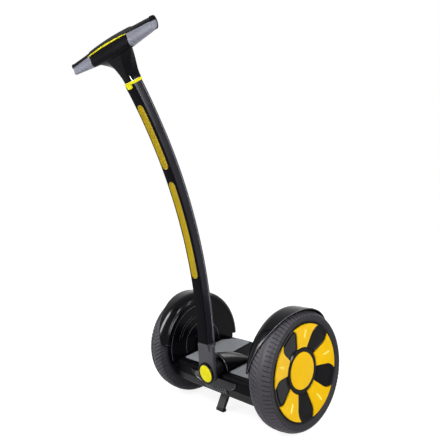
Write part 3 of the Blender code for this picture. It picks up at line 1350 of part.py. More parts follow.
def rear_fittings(deck, flap_axis, button):
    """Charging socket with its flap, and the power button, all in the body's rear wall."""
    wall = BODY_REAR - SHELL_WALL
    socket = turned([
        (BODY_REAR, SOCKET_RADIUS * 0.55),
        (BODY_REAR, SOCKET_RADIUS),
        (wall - GAP, SOCKET_RADIUS),
        (wall - GAP, SOCKET_RADIUS * 1.3),
        (wall - 2 * SHELL_WALL, SOCKET_RADIUS * 1.3),
        (wall - 2 * SHELL_WALL, SOCKET_RADIUS * 0.55),
    ], SMALL_STEPS, axis="Y")
    add("charge_socket", socket, "black_plastic", deck, (SOCKET_X, 0, REAR_FITTING_Z))
    flap_front = FLAP_THICKNESS - FLAP_HINGE_DEPTH
    flap = turned([
        (-FLAP_HINGE_DEPTH, 0.0),
        (-FLAP_HINGE_DEPTH, FLAP_RADIUS),
        (0.0, FLAP_RADIUS),
        (flap_front, FLAP_RADIUS * 0.85),
        (flap_front, 0.0),
    ], SMALL_STEPS, axis="Y", closed=False)
    add("charge_flap", flap, "black_rubber", flap_axis, (0, 0, -FLAP_RADIUS))
    button_mesh = turned([
        (-2 * SHELL_WALL, 0.0),
        (-2 * SHELL_WALL, BUTTON_RADIUS * 1.25),
        (-SHELL_WALL - GAP, BUTTON_RADIUS * 1.25),
        (-SHELL_WALL - GAP, BUTTON_RADIUS),
        (BUTTON_TRAVEL + GAP, BUTTON_RADIUS),
        (BUTTON_TRAVEL + 2 * GAP, BUTTON_RADIUS * 0.85),
        (BUTTON_TRAVEL + 2 * GAP, 0.0),
    ], SMALL_STEPS, axis="Y", closed=False)
    add("power_button", button_mesh, "silver_rubber", button)


def centre_over_origin(frames):
    """Slides the outermost frames together until the whole stands with its middle over the origin."""
    graph = bpy.context.evaluated_depsgraph_get()
    places = []
    for body in bpy.data.objects:
        if body.type == "MESH" and not body.hide_render:
            solid = body.evaluated_get(graph).to_mesh()
            places += [(body.matrix_world @ vertex.co).y for vertex in solid.vertices]
    middle = (min(places) + max(places)) / 2
    for frame in frames:
        frame.location.y -= middle


def main():
    for old in list(bpy.data.objects):
        bpy.data.objects.remove(old, do_unlink=True)
    material("tyre_rubber", (0.030, 0.030, 0.032), 0.72)
    material("black_gloss", (0.012, 0.012, 0.014), 0.22)
    material("black_plastic", (0.020, 0.020, 0.023), 0.42)
    material("stem_gloss", (0.055, 0.052, 0.065), 0.25)
    material("yellow_plastic", (0.83, 0.60, 0.02), 0.35)
    material("grey_rubber", (0.42, 0.43, 0.44), 0.75)
    material("silver_rubber", (0.46, 0.48, 0.53), 0.50)
    material("black_rubber", (0.025, 0.025, 0.027), 0.80)
    material("grey_metal", (0.11, 0.11, 0.12), 0.45, 0.6)
    material("black_metal", (0.018, 0.018, 0.020), 0.40, 0.8)
    material("bare_metal", (0.62, 0.63, 0.64), 0.40, 1.0)
    material("steel", (0.55, 0.55, 0.56), 0.30, 1.0)
    material("copper", (0.55, 0.27, 0.12), 0.40, 1.0)
    material("battery_wrap", (0.05, 0.11, 0.30), 0.50)
    material("circuit_green", (0.03, 0.16, 0.07), 0.50)

    deck = frame_at("deck_frame", (0, 0, WHEEL_RADIUS), (PARKING_PITCH, 0, 0))
    pivot = (0, plate_face(PIVOT_AXIS_Z), PIVOT_AXIS_Z)
    stem = frame_at("stem_axis", pivot, parent=deck)
    stand = frame_at("kickstand_axis", (0, KICKSTAND_HINGE_Y, KICKSTAND_HINGE_Z))
    flap_hinge = (SOCKET_X, BODY_REAR + GAP + FLAP_HINGE_DEPTH, REAR_FITTING_Z + FLAP_RADIUS)
    flap_axis = frame_at("charge_flap_axis", flap_hinge, parent=deck)
    button = frame_at("power_button_axis", (BUTTON_X, BODY_REAR, REAR_FITTING_Z), parent=deck)
    outermost = [deck, stand]
    for side, label in ((-1, "right"), (1, "left")):
        axis = frame_at(f"wheel_axis_{label}", (side * WHEEL_CENTRE, 0, WHEEL_RADIUS))
        outermost.append(axis)
        wheel(side, label, axis)
        axle_side(side, label, deck)
    chassis(deck)
    shells(deck)
    pivot_cover(deck)
    front_pieces(deck)
    inside_the_deck(deck)
    foot_mats(deck)
    steering_pivot(stem, pivot)
    stem_pieces(stem, pivot)
    head(stem, pivot)
    kickstand_pin(deck)
    kickstand(stand)
    rear_fittings(deck, flap_axis, button)
    bpy.context.view_layer.update()
    centre_over_origin(outermost)
    bpy.context.view_layer.update()


main()
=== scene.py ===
"""Looks for a stand-on balancing transporter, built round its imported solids.

Metres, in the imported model's frame: +X is the rider's left, -Y is ahead and the floor is at Z = 0.
"""

import json
import math

import bmesh
import bpy
from mathutils import Matrix, Vector


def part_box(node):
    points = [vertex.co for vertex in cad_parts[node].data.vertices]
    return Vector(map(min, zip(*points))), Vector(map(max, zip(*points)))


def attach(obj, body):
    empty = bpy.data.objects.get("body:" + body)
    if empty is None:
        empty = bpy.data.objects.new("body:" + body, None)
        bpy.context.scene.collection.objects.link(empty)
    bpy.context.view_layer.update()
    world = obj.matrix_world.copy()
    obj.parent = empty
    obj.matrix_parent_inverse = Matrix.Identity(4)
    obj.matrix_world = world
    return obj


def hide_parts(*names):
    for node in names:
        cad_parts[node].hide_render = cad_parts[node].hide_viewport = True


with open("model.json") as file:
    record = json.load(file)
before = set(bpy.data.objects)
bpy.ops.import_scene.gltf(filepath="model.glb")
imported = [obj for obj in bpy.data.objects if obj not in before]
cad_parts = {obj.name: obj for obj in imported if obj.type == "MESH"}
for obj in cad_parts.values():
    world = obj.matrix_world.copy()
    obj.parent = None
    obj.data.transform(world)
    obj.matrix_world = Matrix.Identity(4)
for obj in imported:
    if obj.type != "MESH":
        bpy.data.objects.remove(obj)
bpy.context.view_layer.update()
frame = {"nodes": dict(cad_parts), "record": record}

NODES = frame["nodes"]
SIDES = ((1, "left"), (-1, "right"))
GAP = 0.0003

# Sizes of the wheels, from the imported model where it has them

drum_low, drum_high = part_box("motor_drum_left")
WHEEL_RADIUS = 0.183
WHEEL_CENTRE = (drum_low.x + drum_high.x) / 2
BEAD_RADIUS = (drum_high.z - drum_low.z) / 2 + GAP
AXLE = Vector((0, (drum_low.y + drum_high.y) / 2, WHEEL_RADIUS))
PITCH = math.radians(10)
DECK = Matrix.Translation(AXLE) @ Matrix.Rotation(PITCH, 4, "X")
ROUND_STEPS = 128

TREAD_PITCHES = 84
TREAD_DEPTH = 0.0034
SIPE_SLANT = 3.2
RIB_SLANT = 0.5

LIP_RADIUS = BEAD_RADIUS - 0.0035
COVER_RIM = LIP_RADIUS - GAP
COVER_SEAT = 0.0188
COVER_SINK = 0.0040
PETAL_INNER = 0.0700
PETAL_OUTER = COVER_RIM - 0.0026
PETAL_FACES = (0.0257, 0.0417)
PETAL_COUNT = 5
PETAL_MIDDLES = [math.radians(17) + math.tau * index / PETAL_COUNT for index in range(PETAL_COUNT)]
PETAL_HALF = math.radians(18)
PETAL_FLARE = math.radians(24.6)
PETAL_FLARE_START = 0.112
PETAL_THICKNESS = 0.0070
PETAL_EDGE = 0.0020
PETAL_CROWN = 0.0006
RIDGE_START, RIDGE_END = 0.099, 0.128
RIDGE_HALF_WIDTH, RIDGE_HEIGHT, RIDGE_ROOT = 0.0034, 0.0028, 0.0008
PANEL_REACH = (0.0745, 0.1335)
PANEL_MARGIN = 0.0036
PANEL_RISE = 0.0014
HUB_CAP_RADIUS = 0.0559
HUB_RING_FACE = 0.0250
HUB_RING_OUTER = 0.0679
PLATE_RIBS = 12
PLATE_SCREWS, PLATE_SCREW_CIRCLE = 8, 0.121

# Sizes of the fenders, in the deck's frame

FENDER_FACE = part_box("fender_left")[0].x
FENDER_WALL = 0.0030
FENDER_CREST = 0.1888
FENDER_ANGLES = (math.radians(15), math.radians(103), math.radians(186))
FENDER_REACHES = (0.213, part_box("fender_left")[1].x)
FENDER_EDGE_DROP = 0.0010
FENDER_ROOT = 0.1515
SHOULDER_WIDTHS = (0.042, 0.026)
SHOULDER_STARTS = (0.154, 0.160)
SHOULDER_TURNS = (math.radians(55), math.radians(130))
FLANK_RADIUS = 0.1545
FLANK_BOTTOM = -0.030
EDGE_LINE_TURNS = (math.radians(16), math.radians(112))
SHOULDER_LINES = ((0.1625, 0.0015), (0.1685, 0.0008))
FLANK_SCREW_RADIUS = 0.0792
AXLE_COVER_RADIUS, AXLE_COVER_FACE, AXLE_COVER_ROUND = 0.0340, 0.1824, 0.0030

# Fine raised arcs on the fender's flank, grey as a painted highlight: radius, thickness, and where each
# starts and ends in degrees

FLANK_ARCS = (
    (0.1460, 0.0008, -7, 98),
    (0.1150, 0.0005, 22, 72),
    (0.1060, 0.0005, 26, 84),
    (0.0800, 0.0009, -10, 190),
)

# Sizes of the deck, in its own frame; pairs go from top to bottom, or from front to rear

DECK_HALF = 0.193
DECK_TOP = -0.018
PARTING = -0.062
BODY_BOTTOM = -0.092
BODY_FRONT = (-0.130, -0.121)
BODY_REAR = (0.135, 0.126)
MAT_TOP = -0.016
MAT_THICKNESS = 0.0055
MAT_TRAVEL = 0.0020
MAT_FRONT, MAT_REAR = -0.101, 0.122
MAT_INNER = (0.052, 0.064)
MAT_OUTER = 0.1805
MAT_REAR_CUT = 0.040
HUMP_FRONT, HUMP_TAIL = -0.102, 0.014
HUMP_HALF_WIDTH, HUMP_HEIGHT = 0.046, 0.054
MOUTH_HALF_WIDTH, MOUTH_HEIGHT = 0.0321, 0.0374
HUMP_NARROWING, HUMP_POWER, HUMP_EDGE = 0.15, 0.58, 0.0060
WALL = 0.003
SEAM = 0.0010
PIVOT_Z = -0.013
TUBE_ROOM = 0.0325
REAR_FITTING_X, REAR_FITTING_Z = 0.100, -0.042
TRAY_RIBS = (-0.150, -0.110, -0.070, 0.045, 0.085, 0.125, 0.160)
MAT_RIBS = (0.076, 0.164, 11)
GRILLE_TOP, GRILLE_BOTTOM = -0.064, -0.083
GRILLE_HALF_WIDTH = 0.063
GRILLE_RIBS = 10
GRILLE_SQUEEZE = 0.86
APRON_HALF_WIDTH = 0.108

# The rear fittings' places across the deck, and the radii of their holes and bezels

REAR_FITTINGS = ((REAR_FITTING_X, 0.0098, 0.0128), (-REAR_FITTING_X, 0.0088, 0.0104))

# Sizes of the stem, in the deck's frame; pairs go from its foot up

BEND_RADIUS = 1.60
STEM_AFT = (-0.1269, 0.245)
STEM_LOW, STEM_HIGH = 0.085, 0.905
STEM_WIDTHS = (0.044, 0.040)
STEM_DEPTHS = (0.0373, 0.0412)
STEM_REAR_ROUND, STEM_BOW = 0.0065, 0.0020
STEM_LINE_SHARE, STEM_LINE_RADIUS = 0.96, 0.0009
FRONT_SHELL = 0.0045
INSERT_WIDTH = 0.0290
INSERTS = {"lower": (0.300, 0.617), "upper": (0.656, 0.850)}
INSERT_TROUGH = 0.0026
COLLAR_HEIGHT, COLLAR_PROUD = 0.0085, 0.0010
TAB_LENGTH, TAB_WIDTH = 0.010, 0.029
BRACKET_FACE, BRACKET_LEAN = -0.1535, 0.093
BRACKET_THICKNESS, BRACKET_SHOULDER, BRACKET_HALF = 0.011, 0.083, 0.036
CAP_RADIUS, CAP_RING = 0.0283, 0.0350

# Sizes of the head; groups go from the bar's middle outwards

BAR_RISE = 0.108
BAR_FORWARD = 0.0046
BAR_HALF = 0.2146
BAR_SWEEP = 0.0143
BAR_UNDERCUT = 0.35
BAR_HEIGHTS = (0.052, 0.046, 0.031)
BAR_DEPTHS = (0.050, 0.040, 0.023)
BAR_STRIPS = (0.0125, 0.0100)
GRIP_START = 0.1025
BARREL_ROUND, GRIP_ROUND, COVER_ROUND = 0.0020, 0.0050, 0.0010
COVER_INSET = 0.0006
CAP_BEAD = 0.0017
CAP_TURNS = (math.radians(62), math.radians(262))
COVER_STEP, COVER_STEP_LENGTH = 0.0036, 0.004
TRIM_HALVES, TRIM_DROP = (0.0020, 0.0008), 0.0026
SECTION_POWERS = (0.70, 0.50)
NECK_START, NECK_TOP, NECK_TOP_HALF = 0.0090, 0.090, 0.095
NECK_CORNERS = (0.004, 0.004, 0.002, 0.001, 0.001, 0.002)
NECK_TOP_FRONT, NECK_TOP_BACK = 0.0240, -0.0185
NECK_POWER, NECK_BACK_POWER = 2.1, 3.0

# The kickstand's place and sizes

hinge_low, hinge_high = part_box("kickstand_pin")
STAND_X = -0.013
HINGE = Vector((STAND_X, (hinge_low.y + hinge_high.y) / 2, (hinge_low.z + hinge_high.z) / 2))
HINGE_ROOM = 0.0212
LEG_THICKNESS, LEG_EYE = 0.012, 0.0075
STANDING = Matrix()

# Camera: its place from the floor under the axle, and its turns in degrees

CAMERA_PLACE = (1.1116, -1.1017, 0.6078)
CAMERA_TURNS = (91.23, 0, 47.70)
CAMERA_LENS = 36.79

# Light: each lamp's name, place, target, size and power

FLOOR_GLOW = 0.60
GLOW_STRENGTH = 1.45
SKY_LIGHT = 0.45
LAMPS = (
    ("key", (-0.6, -2.3, 2.3), (0, 0, 0.4), (0.30, 1.3), 44),
    ("side", (2.6, -0.5, 1.7), (0, 0.2, 0.3), (0.30, 1.3), 36),
    ("back", (-0.6, 2.4, 2.2), (0, 0, 0.5), (1.4, 0.5), 22),
)

# Cards are lamps that show in reflections alone

CARDS = (
    ("key_card", (-0.9, -2.2, 2.0), (-0.2, 0, 0.4), (0.8, 2.2), 330),
    ("side_card", (2.6, -0.4, 1.6), (0, 0.1, 0.5), (0.5, 2.2), 110),
    ("stem_card", (2.2, 1.05, 1.75), (0, 0, 0.9), (0.22, 1.2), 19),
)


def between(low, high, share):
    return low + (high - low) * share


def spread(low, high, count):
    return [between(low, high, step / count) for step in range(count + 1)]


def ease(share):
    """A smooth step from 0 to 1."""
    share = min(1.0, max(0.0, share))
    return share * share * (3 - 2 * share)


def round_off(distance, radius):
    """How far a rounded edge falls away, at a distance in from it."""
    if distance >= radius:
        return 0.0
    return radius - math.sqrt(radius * radius - (radius - max(distance, 0.0)) ** 2)


# Materials

class Shader:
    """A node material under construction, with short names for the nodes it uses most."""

    def __init__(self, name):
        self.material = bpy.data.materials.new(name)
        self.material.use_nodes = True
        self.tree = self.material.node_tree
        self.surface = self.tree.nodes["Principled BSDF"]
        self.place = self.tree.nodes.new("ShaderNodeTexCoord").outputs["Object"]

    def node(self, kind, **inputs):
        made = self.tree.nodes.new(kind)
        for key, value in inputs.items():
            socket = made.inputs[key.replace("_", " ")]
            if isinstance(value, bpy.types.NodeSocket):
                self.tree.links.new(value, socket)
            else:
                socket.default_value = value
        return made

    def noise(self, scale, detail=3.0, roughness=0.55, stretch=None):
        source = self.place
        if stretch:
            source = self.node("ShaderNodeMapping", Vector=self.place, Scale=stretch).outputs["Vector"]
        made = self.node("ShaderNodeTexNoise", Vector=source, Scale=scale, Detail=detail, Roughness=roughness)
        return made.outputs["Fac"]

    def ramp(self, source, low, high, start=0.35, end=0.65):
        made = self.node("ShaderNodeMapRange", Value=source)
        made.inputs["From Min"].default_value = start
        made.inputs["From Max"].default_value = end
        made.inputs["To Min"].default_value = low
        made.inputs["To Max"].default_value = high
        return made.outputs["Result"]

    def mix(self, share, one, other):
        made = self.tree.nodes.new("ShaderNodeMix")
        made.data_type = "RGBA"
        for socket, value in ((made.inputs[0], share), (made.inputs[6], one), (made.inputs[7], other)):
            if isinstance(value, bpy.types.NodeSocket):
                self.tree.links.new(value, socket)
            elif socket.type == "RGBA":
                socket.default_value = (*value, 1)
            else:
                socket.default_value = value
        return made.outputs[2]

    def vector(self, operation, value, other=None):
        made = self.node("ShaderNodeVectorMath", Vector=value)
        made.operation = operation
        if other:
            made.inputs[1].default_value = other
        return made.outputs["Value" if operation in ("LENGTH", "DOT_PRODUCT") else "Vector"]

    def from_axle(self, slope):
        """Distance from the wheels' axis, more outboard of the tyre's middle and less inboard of it."""
        away = self.vector("ABSOLUTE", self.vector("SUBTRACT", self.place, AXLE))
        middle = self.vector("SUBTRACT", away, (WHEEL_CENTRE, 0, 0))
        radius = self.vector("LENGTH", self.vector("MULTIPLY", away, (0, 1, 1)))
        total = self.node("ShaderNodeMath", Value=radius)
        self.tree.links.new(self.vector("DOT_PRODUCT", middle, (slope, 0, 0)), total.inputs[1])
        return total.outputs[0]

    def bump(self, height, strength, distance):
        made = self.node("ShaderNodeBump", Height=height, Strength=strength, Distance=distance)
        return made.outputs["Normal"]

    def set(self, socket, value):
        if isinstance(value, bpy.types.NodeSocket):
            self.tree.links.new(value, self.surface.inputs[socket])
        else:
            self.surface.inputs[socket].default_value = value
        return self


def moulded(name, light, dark, roughness, grain_scale, grain, metallic=0.0, specular=0.5, stretch=None,
            core=None):
    """Moulded plastic, rubber or metal: two close tones, patchy roughness, scuffs and a fine grain.

    A core is a painted shade, a darker third tone nearer the axle and deepest inboard beside the deck:
    its colour, the radii where it starts to fade and ends, and how fast these grow inboard.
    """
    shader = Shader(name)
    patches = shader.noise(9.0, 4.0)
    scuffs = shader.noise(70.0, 6.0, 0.7)
    specks = shader.noise(grain_scale, 2.0, stretch=stretch)
    tone = shader.mix(shader.ramp(patches, 0.0, 1.0), dark, light)
    faded = [min(1.0, part * 1.10 + 0.001) for part in light]
    tone = shader.mix(shader.ramp(scuffs, 0.0, 0.5, 0.58, 0.75), tone, faded)
    # Painted shade: the sidewalls darken nearer the axle, most of all inboard beside the deck.
    if core:
        shade_tone, fade_start, fade_end, slope = core
        outward = shader.ramp(shader.from_axle(slope), 0.0, 1.0, fade_start, fade_end)
        tone = shader.mix(outward, shade_tone, tone)
    shader.set("Base Color", tone)
    wear = shader.ramp(patches, roughness * 0.85, roughness * 1.12)
    dull = shader.node("ShaderNodeMath", Value=wear)
    dull.operation = "ADD"
    shader.tree.links.new(shader.ramp(scuffs, 0.0, 0.06, 0.5, 0.75), dull.inputs[1])
    shader.set("Roughness", dull.outputs[0])
    shader.set("Normal", shader.bump(specks, grain, 0.0004))
    shader.set("Metallic", metallic)
    shader.set("Specular IOR Level", specular)
    return shader.material


LOOKS = {
    # The tyre's darker sidewall tone near the axle is painted shade, deepest inboard beside the deck.
    "tyre_rubber": moulded("tyre_rubber", (0.060, 0.056, 0.068), (0.046, 0.043, 0.052), 0.55, 700, 0.30,
                           specular=0.14, core=((0.022, 0.021, 0.026), 0.172, 0.176, 0.15)),
    "black_gloss": moulded("black_gloss", (0.0030, 0.0027, 0.0042), (0.0021, 0.0019, 0.0030), 0.16, 260, 0.02,
                           specular=0.08),
    "black_plastic": moulded("black_satin", (0.0085, 0.0079, 0.0105), (0.0062, 0.0058, 0.0077), 0.38, 1200,
                             0.12, specular=0.10),
    # Dark grey-violet: partly the shell's own tone, partly painted reflection that lifts it above the other
    # blacks.
    "stem_gloss": moulded("stem_gloss", (0.0150, 0.0145, 0.0210), (0.0120, 0.0116, 0.0170), 0.20, 300, 0.02,
                          specular=0.14),
    "yellow_plastic": moulded("amber_yellow", (0.90, 0.545, 0.002), (0.86, 0.505, 0.001), 0.24, 500, 0.04,
                              specular=0.06),
    "grey_rubber": moulded("mat_grey", (0.26, 0.27, 0.29), (0.22, 0.23, 0.25), 0.68, 900, 0.35, specular=0.2),
    "silver_rubber": moulded("grip_silver", (0.215, 0.220, 0.275), (0.185, 0.190, 0.240), 0.46, 1500, 0.20,
                             specular=0.2),
    "black_rubber": moulded("black_rubber", (0.016, 0.016, 0.018), (0.012, 0.012, 0.014), 0.75, 800, 0.2,
                            specular=0.15),
    "grey_metal": moulded("bracket_grey", (0.056, 0.054, 0.065), (0.045, 0.043, 0.053), 0.50, 1600, 0.2,
                          specular=0.20),
    "black_metal": moulded("black_coating", (0.011, 0.011, 0.013), (0.008, 0.008, 0.010), 0.44, 1400, 0.15,
                           specular=0.15),
    "bare_metal": moulded("bare_metal", (0.60, 0.61, 0.62), (0.52, 0.53, 0.54), 0.38, 600, 0.1, metallic=1.0,
                          stretch=(1, 8, 8)),
    "steel": moulded("ground_steel", (0.52, 0.52, 0.53), (0.46, 0.46, 0.47), 0.30, 500, 0.08, metallic=1.0,
                     stretch=(8, 1, 1)),
    "copper": moulded("copper_windings", (0.55, 0.25, 0.10), (0.45, 0.18, 0.07), 0.42, 300, 0.3,
                      metallic=0.8),
    "battery_wrap": moulded("battery_wrap", (0.045, 0.11, 0.30), (0.035, 0.09, 0.26), 0.42, 200, 0.1),
    "circuit_green": moulded("circuit_board", (0.030, 0.16, 0.07), (0.024, 0.13, 0.055), 0.45, 300, 0.1),
    "lemon_yellow": moulded("lemon_yellow", (0.86, 0.79, 0.010), (0.82, 0.74, 0.008), 0.30, 500, 0.04,
                            specular=0.06),
    "gold_insert": moulded("gold_insert", (0.46, 0.32, 0.002), (0.40, 0.275, 0.002), 0.28, 500, 0.04,
                           specular=0.08),
    "apron_black": moulded("apron_black", (0.0070, 0.0066, 0.0086), (0.0050, 0.0048, 0.0062), 0.22, 260, 0.02,
                           specular=0.16),
    "cover_black": moulded("cover_black", (0.0045, 0.0041, 0.0058), (0.0032, 0.0030, 0.0042), 0.26, 400, 0.05,
                           specular=0.10),
    "front_black": moulded("front_black", (0.0036, 0.0032, 0.0048), (0.0026, 0.0023, 0.0035), 0.45, 1200,
                           0.06, specular=0.02),
    "neck_black": moulded("neck_black", (0.0036, 0.0032, 0.0048), (0.0026, 0.0023, 0.0035), 0.20, 600, 0.03,
                          specular=0.05),
    # Painted highlight: a light grey on fine ribs, rims and lines of black parts, standing in for their
    # highlights.
    "highlight_grey": moulded("highlight_grey", (0.26, 0.27, 0.29), (0.20, 0.21, 0.23), 0.30, 600, 0.05, specular=0.4),
    # Painted highlight: a fainter grey on fine rims and arcs of black parts, standing in for their
    # highlights.
    "faint_highlight_grey": moulded("faint_highlight_grey", (0.120, 0.118, 0.135), (0.085, 0.083, 0.095), 0.30, 600, 0.05,
                         specular=0.3),
    # Painted highlight: a paler yellow for the petal ridges, standing in for their highlights.
    "ridge_highlight_yellow": moulded("ridge_highlight_yellow", (0.98, 0.86, 0.16), (0.94, 0.80, 0.12), 0.22, 500, 0.03,
                            specular=0.3),
}
for entry in frame["record"]["subparts"]:
    solid = NODES[entry["node"]]
    solid.data.materials.clear()
    solid.data.materials.append(LOOKS[entry["material_slot"]])


# Mesh tools

def facing_out(mesh):
    bmesh.ops.recalc_face_normals(mesh, faces=mesh.faces)
    if mesh.calc_volume(signed=True) < 0:
        bmesh.ops.reverse_faces(mesh, faces=mesh.faces)
    return mesh


def loft(loops, ring=False, ends="cap"):
    """A closed skin through loops of equally many points.

    Its ends are capped, or with ends="strip" closed by rows of quads between a loop's two halves.
    """
    mesh = bmesh.new()
    rows = [[mesh.verts.new(point) for point in loop] for loop in loops]
    pairs = list(zip(rows, rows[1:]))
    if ring:
        pairs.append((rows[-1], rows[0]))
    for row, following in pairs:
        for corners in zip(row, row[1:] + row[:1], following[1:] + following[:1], following):
            mesh.faces.new(corners)
    if not ring:
        for row in (rows[0], rows[-1]):
            if ends == "strip":
                half = len(row) // 2
                out, back = row[:half], row[:half - 1:-1]
                for corners in zip(out, out[1:], back[1:], back):
                    mesh.faces.new(corners)
            else:
                mesh.faces.new(row)
    return facing_out(mesh)


def crosswise(outline, along, across):
    """An outline in the plane square to an axis, at a place along that axis."""
    if across == "X":
        return [(along, a, b) for a, b in outline]
    if across == "Y":
        return [(a, along, b) for a, b in outline]
    return [(a, b, along) for a, b in outline]


def prism(outline, low, high, across="X"):
    """A straight block: an outline carried from low to high along an axis."""
    return loft([crosswise(outline, along, across) for along in (low, high)])


def turned(profile, steps=ROUND_STEPS, across="X", closed=True):
    """A profile of (place along the axis, radius) turned round it; an open one starts and ends on it."""
    turns = [math.tau * step / steps for step in range(steps)]
    loops = [crosswise([(radius * math.cos(turn), radius * math.sin(turn)) for turn in turns], along, across)
             for along, radius in profile]
    if closed:
        return loft(loops, ring=True)
    mesh = loft(loops)
    bmesh.ops.remove_doubles(mesh, verts=mesh.verts, dist=0.000001)
    return facing_out(mesh)


def rounded(corners, radii, steps=5):
    """An outline with its corners turned into arcs: one radius for all, or one each, where 0 stays sharp."""
    points = []
    for index, corner in enumerate(corners):
        here = Vector(corner)
        radius = radii[index] if isinstance(radii, (list, tuple)) else radii
        if not radius:
            points.append(tuple(corner))
            continue
        back = (Vector(corners[index - 1]) - here).normalized()
        ahead = (Vector(corners[(index + 1) % len(corners)]) - here).normalized()
        half = back.angle(ahead) / 2
        centre = here + (back + ahead).normalized() * (radius / math.sin(half))
        first = (here + back * (radius / math.tan(half)) - centre).normalized()
        last = (here + ahead * (radius / math.tan(half)) - centre).normalized()
        for step in range(steps + 1):
            points.append(tuple(centre + first.slerp(last, step / steps) * radius))
    return points


def rectangle(a_low, a_high, b_low, b_high):
    return [(a_low, b_low), (a_high, b_low), (a_high, b_high), (a_low, b_high)]


def arc(radius, start, end, steps, centre=(0, 0)):
    return [(centre[0] + radius * math.cos(turn), centre[1] + radius * math.sin(turn))
            for turn in spread(start, end, steps)]


def circle(radius, steps=32, centre=(0, 0)):
    return arc(radius, 0, math.tau * (1 - 1 / steps), steps - 1, centre)


def together(meshes):
    """Several closed meshes in one."""
    joined = bmesh.new()
    for mesh in meshes:
        data = bpy.data.meshes.new("part_of_piece")
        mesh.to_mesh(data)
        mesh.free()
        joined.from_mesh(data)
        bpy.data.meshes.remove(data)
    return joined


def moved(mesh, offset):
    bmesh.ops.translate(mesh, vec=offset, verts=mesh.verts)
    return mesh


def mirrored(mesh, side):
    """The same mesh on the +X side, or turned over to the -X side."""
    if side < 0:
        bmesh.ops.scale(mesh, vec=(-1, 1, 1), verts=mesh.verts)
        bmesh.ops.reverse_faces(mesh, faces=mesh.faces)
    return mesh


def carved(mesh, tool):
    """A mesh with another cut out of it."""
    made = []
    for part in (mesh, tool):
        data = bpy.data.meshes.new("carving")
        part.to_mesh(data)
        part.free()
        made.append(bpy.data.objects.new("carving", data))
        bpy.context.collection.objects.link(made[-1])
    modifier = made[0].modifiers.new("carve", "BOOLEAN")
    modifier.object = made[1]
    modifier.operation = "DIFFERENCE"
    modifier.solver = "EXACT"
    result = bmesh.new()
    solid = made[0].evaluated_get(bpy.context.evaluated_depsgraph_get())
    result.from_mesh(solid.to_mesh())
    solid.to_mesh_clear()
    for scrap in made:
        data = scrap.data
        bpy.data.objects.remove(scrap, do_unlink=True)
        bpy.data.meshes.remove(data)
    return result


def piece(name, mesh, slot, body, look=None, sharp=32, bevel=0.0, place=DECK):
    """A visible piece that rides on a body, with the finish of a slot or a look of its own.

    It replaces the node that it is named after, if there is one.
    """
    mesh.transform(place)
    data = bpy.data.meshes.new(f"{name}_look")
    mesh.to_mesh(data)
    mesh.free()
    data.shade_smooth()
    data.set_sharp_from_angle(angle=math.radians(sharp))
    data.materials.append(LOOKS[look or slot])
    made = bpy.data.objects.new(f"{name}_look", data)
    bpy.context.collection.objects.link(made)
    if bevel:
        modifier = made.modifiers.new("rounded_edges", "BEVEL")
        modifier.width = bevel
        modifier.segments = 3
        modifier.limit_method = "ANGLE"
        modifier.angle_limit = math.radians(40)
        modifier.harden_normals = True
    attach(made, body)
    if name in NODES:
        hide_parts(name)


def pair(name, make, slot, body=None, **options):
    """The same piece on both sides, on one body or each on its own."""
    for side, label in SIDES:
        full_name = f"{name}_{label}"
        piece(full_name, mirrored(make(), side), slot, body or full_name, **options)


def tube(path, radius, steps=8):
    """A round bead along a path of points, thinner at its two ends."""
    points = [Vector(point) for point in path]
    loops = []
    side = None
    for index, point in enumerate(points):
        ahead = points[min(index + 1, len(points) - 1)] - points[max(index - 1, 0)]
        ahead.normalize()
        if side is None:
            side = ahead.orthogonal().normalized()
        side = (side - ahead * side.dot(ahead)).normalized()
        up = ahead.cross(side)
        thick = radius * (0.5 if index in (0, len(points) - 1) else 1.0)
        loops.append([point + (side * math.cos(turn) + up * math.sin(turn)) * thick
                      for turn in (math.tau * step / steps for step in range(steps))])
    return loft(loops)


def screw(place, radius, outward):
    """A pan-head screw with a round recess, its head facing outward."""
    head = turned([
        (-radius * 0.5, 0.0),
        (-radius * 0.5, radius),
        (radius * 0.15, radius),
        (radius * 0.40, radius * 0.78),
        (radius * 0.46, radius * 0.50),
        (radius * 0.10, radius * 0.46),
        (radius * 0.10, 0.0),
    ], steps=24, across="Z", closed=False)
    turn = Vector((0, 0, 1)).rotation_difference(Vector(outward)).to_matrix().to_4x4()
    head.transform(Matrix.Translation(place) @ turn)
    return head


# The wheels

def on_wheel(along, radius, angle):
    """A point of a wheel: along the axle, and round it from straight ahead upwards."""
    return along, -radius * math.cos(angle), radius * math.sin(angle)


def petal_face(radius):
    return between(*PETAL_FACES, (radius - PETAL_INNER) / (PETAL_OUTER - PETAL_INNER))


def petal_half(radius):
    share = max(0.0, (radius - PETAL_FLARE_START) / (PETAL_OUTER - PETAL_FLARE_START))
    return between(PETAL_HALF, PETAL_FLARE, share ** 2)


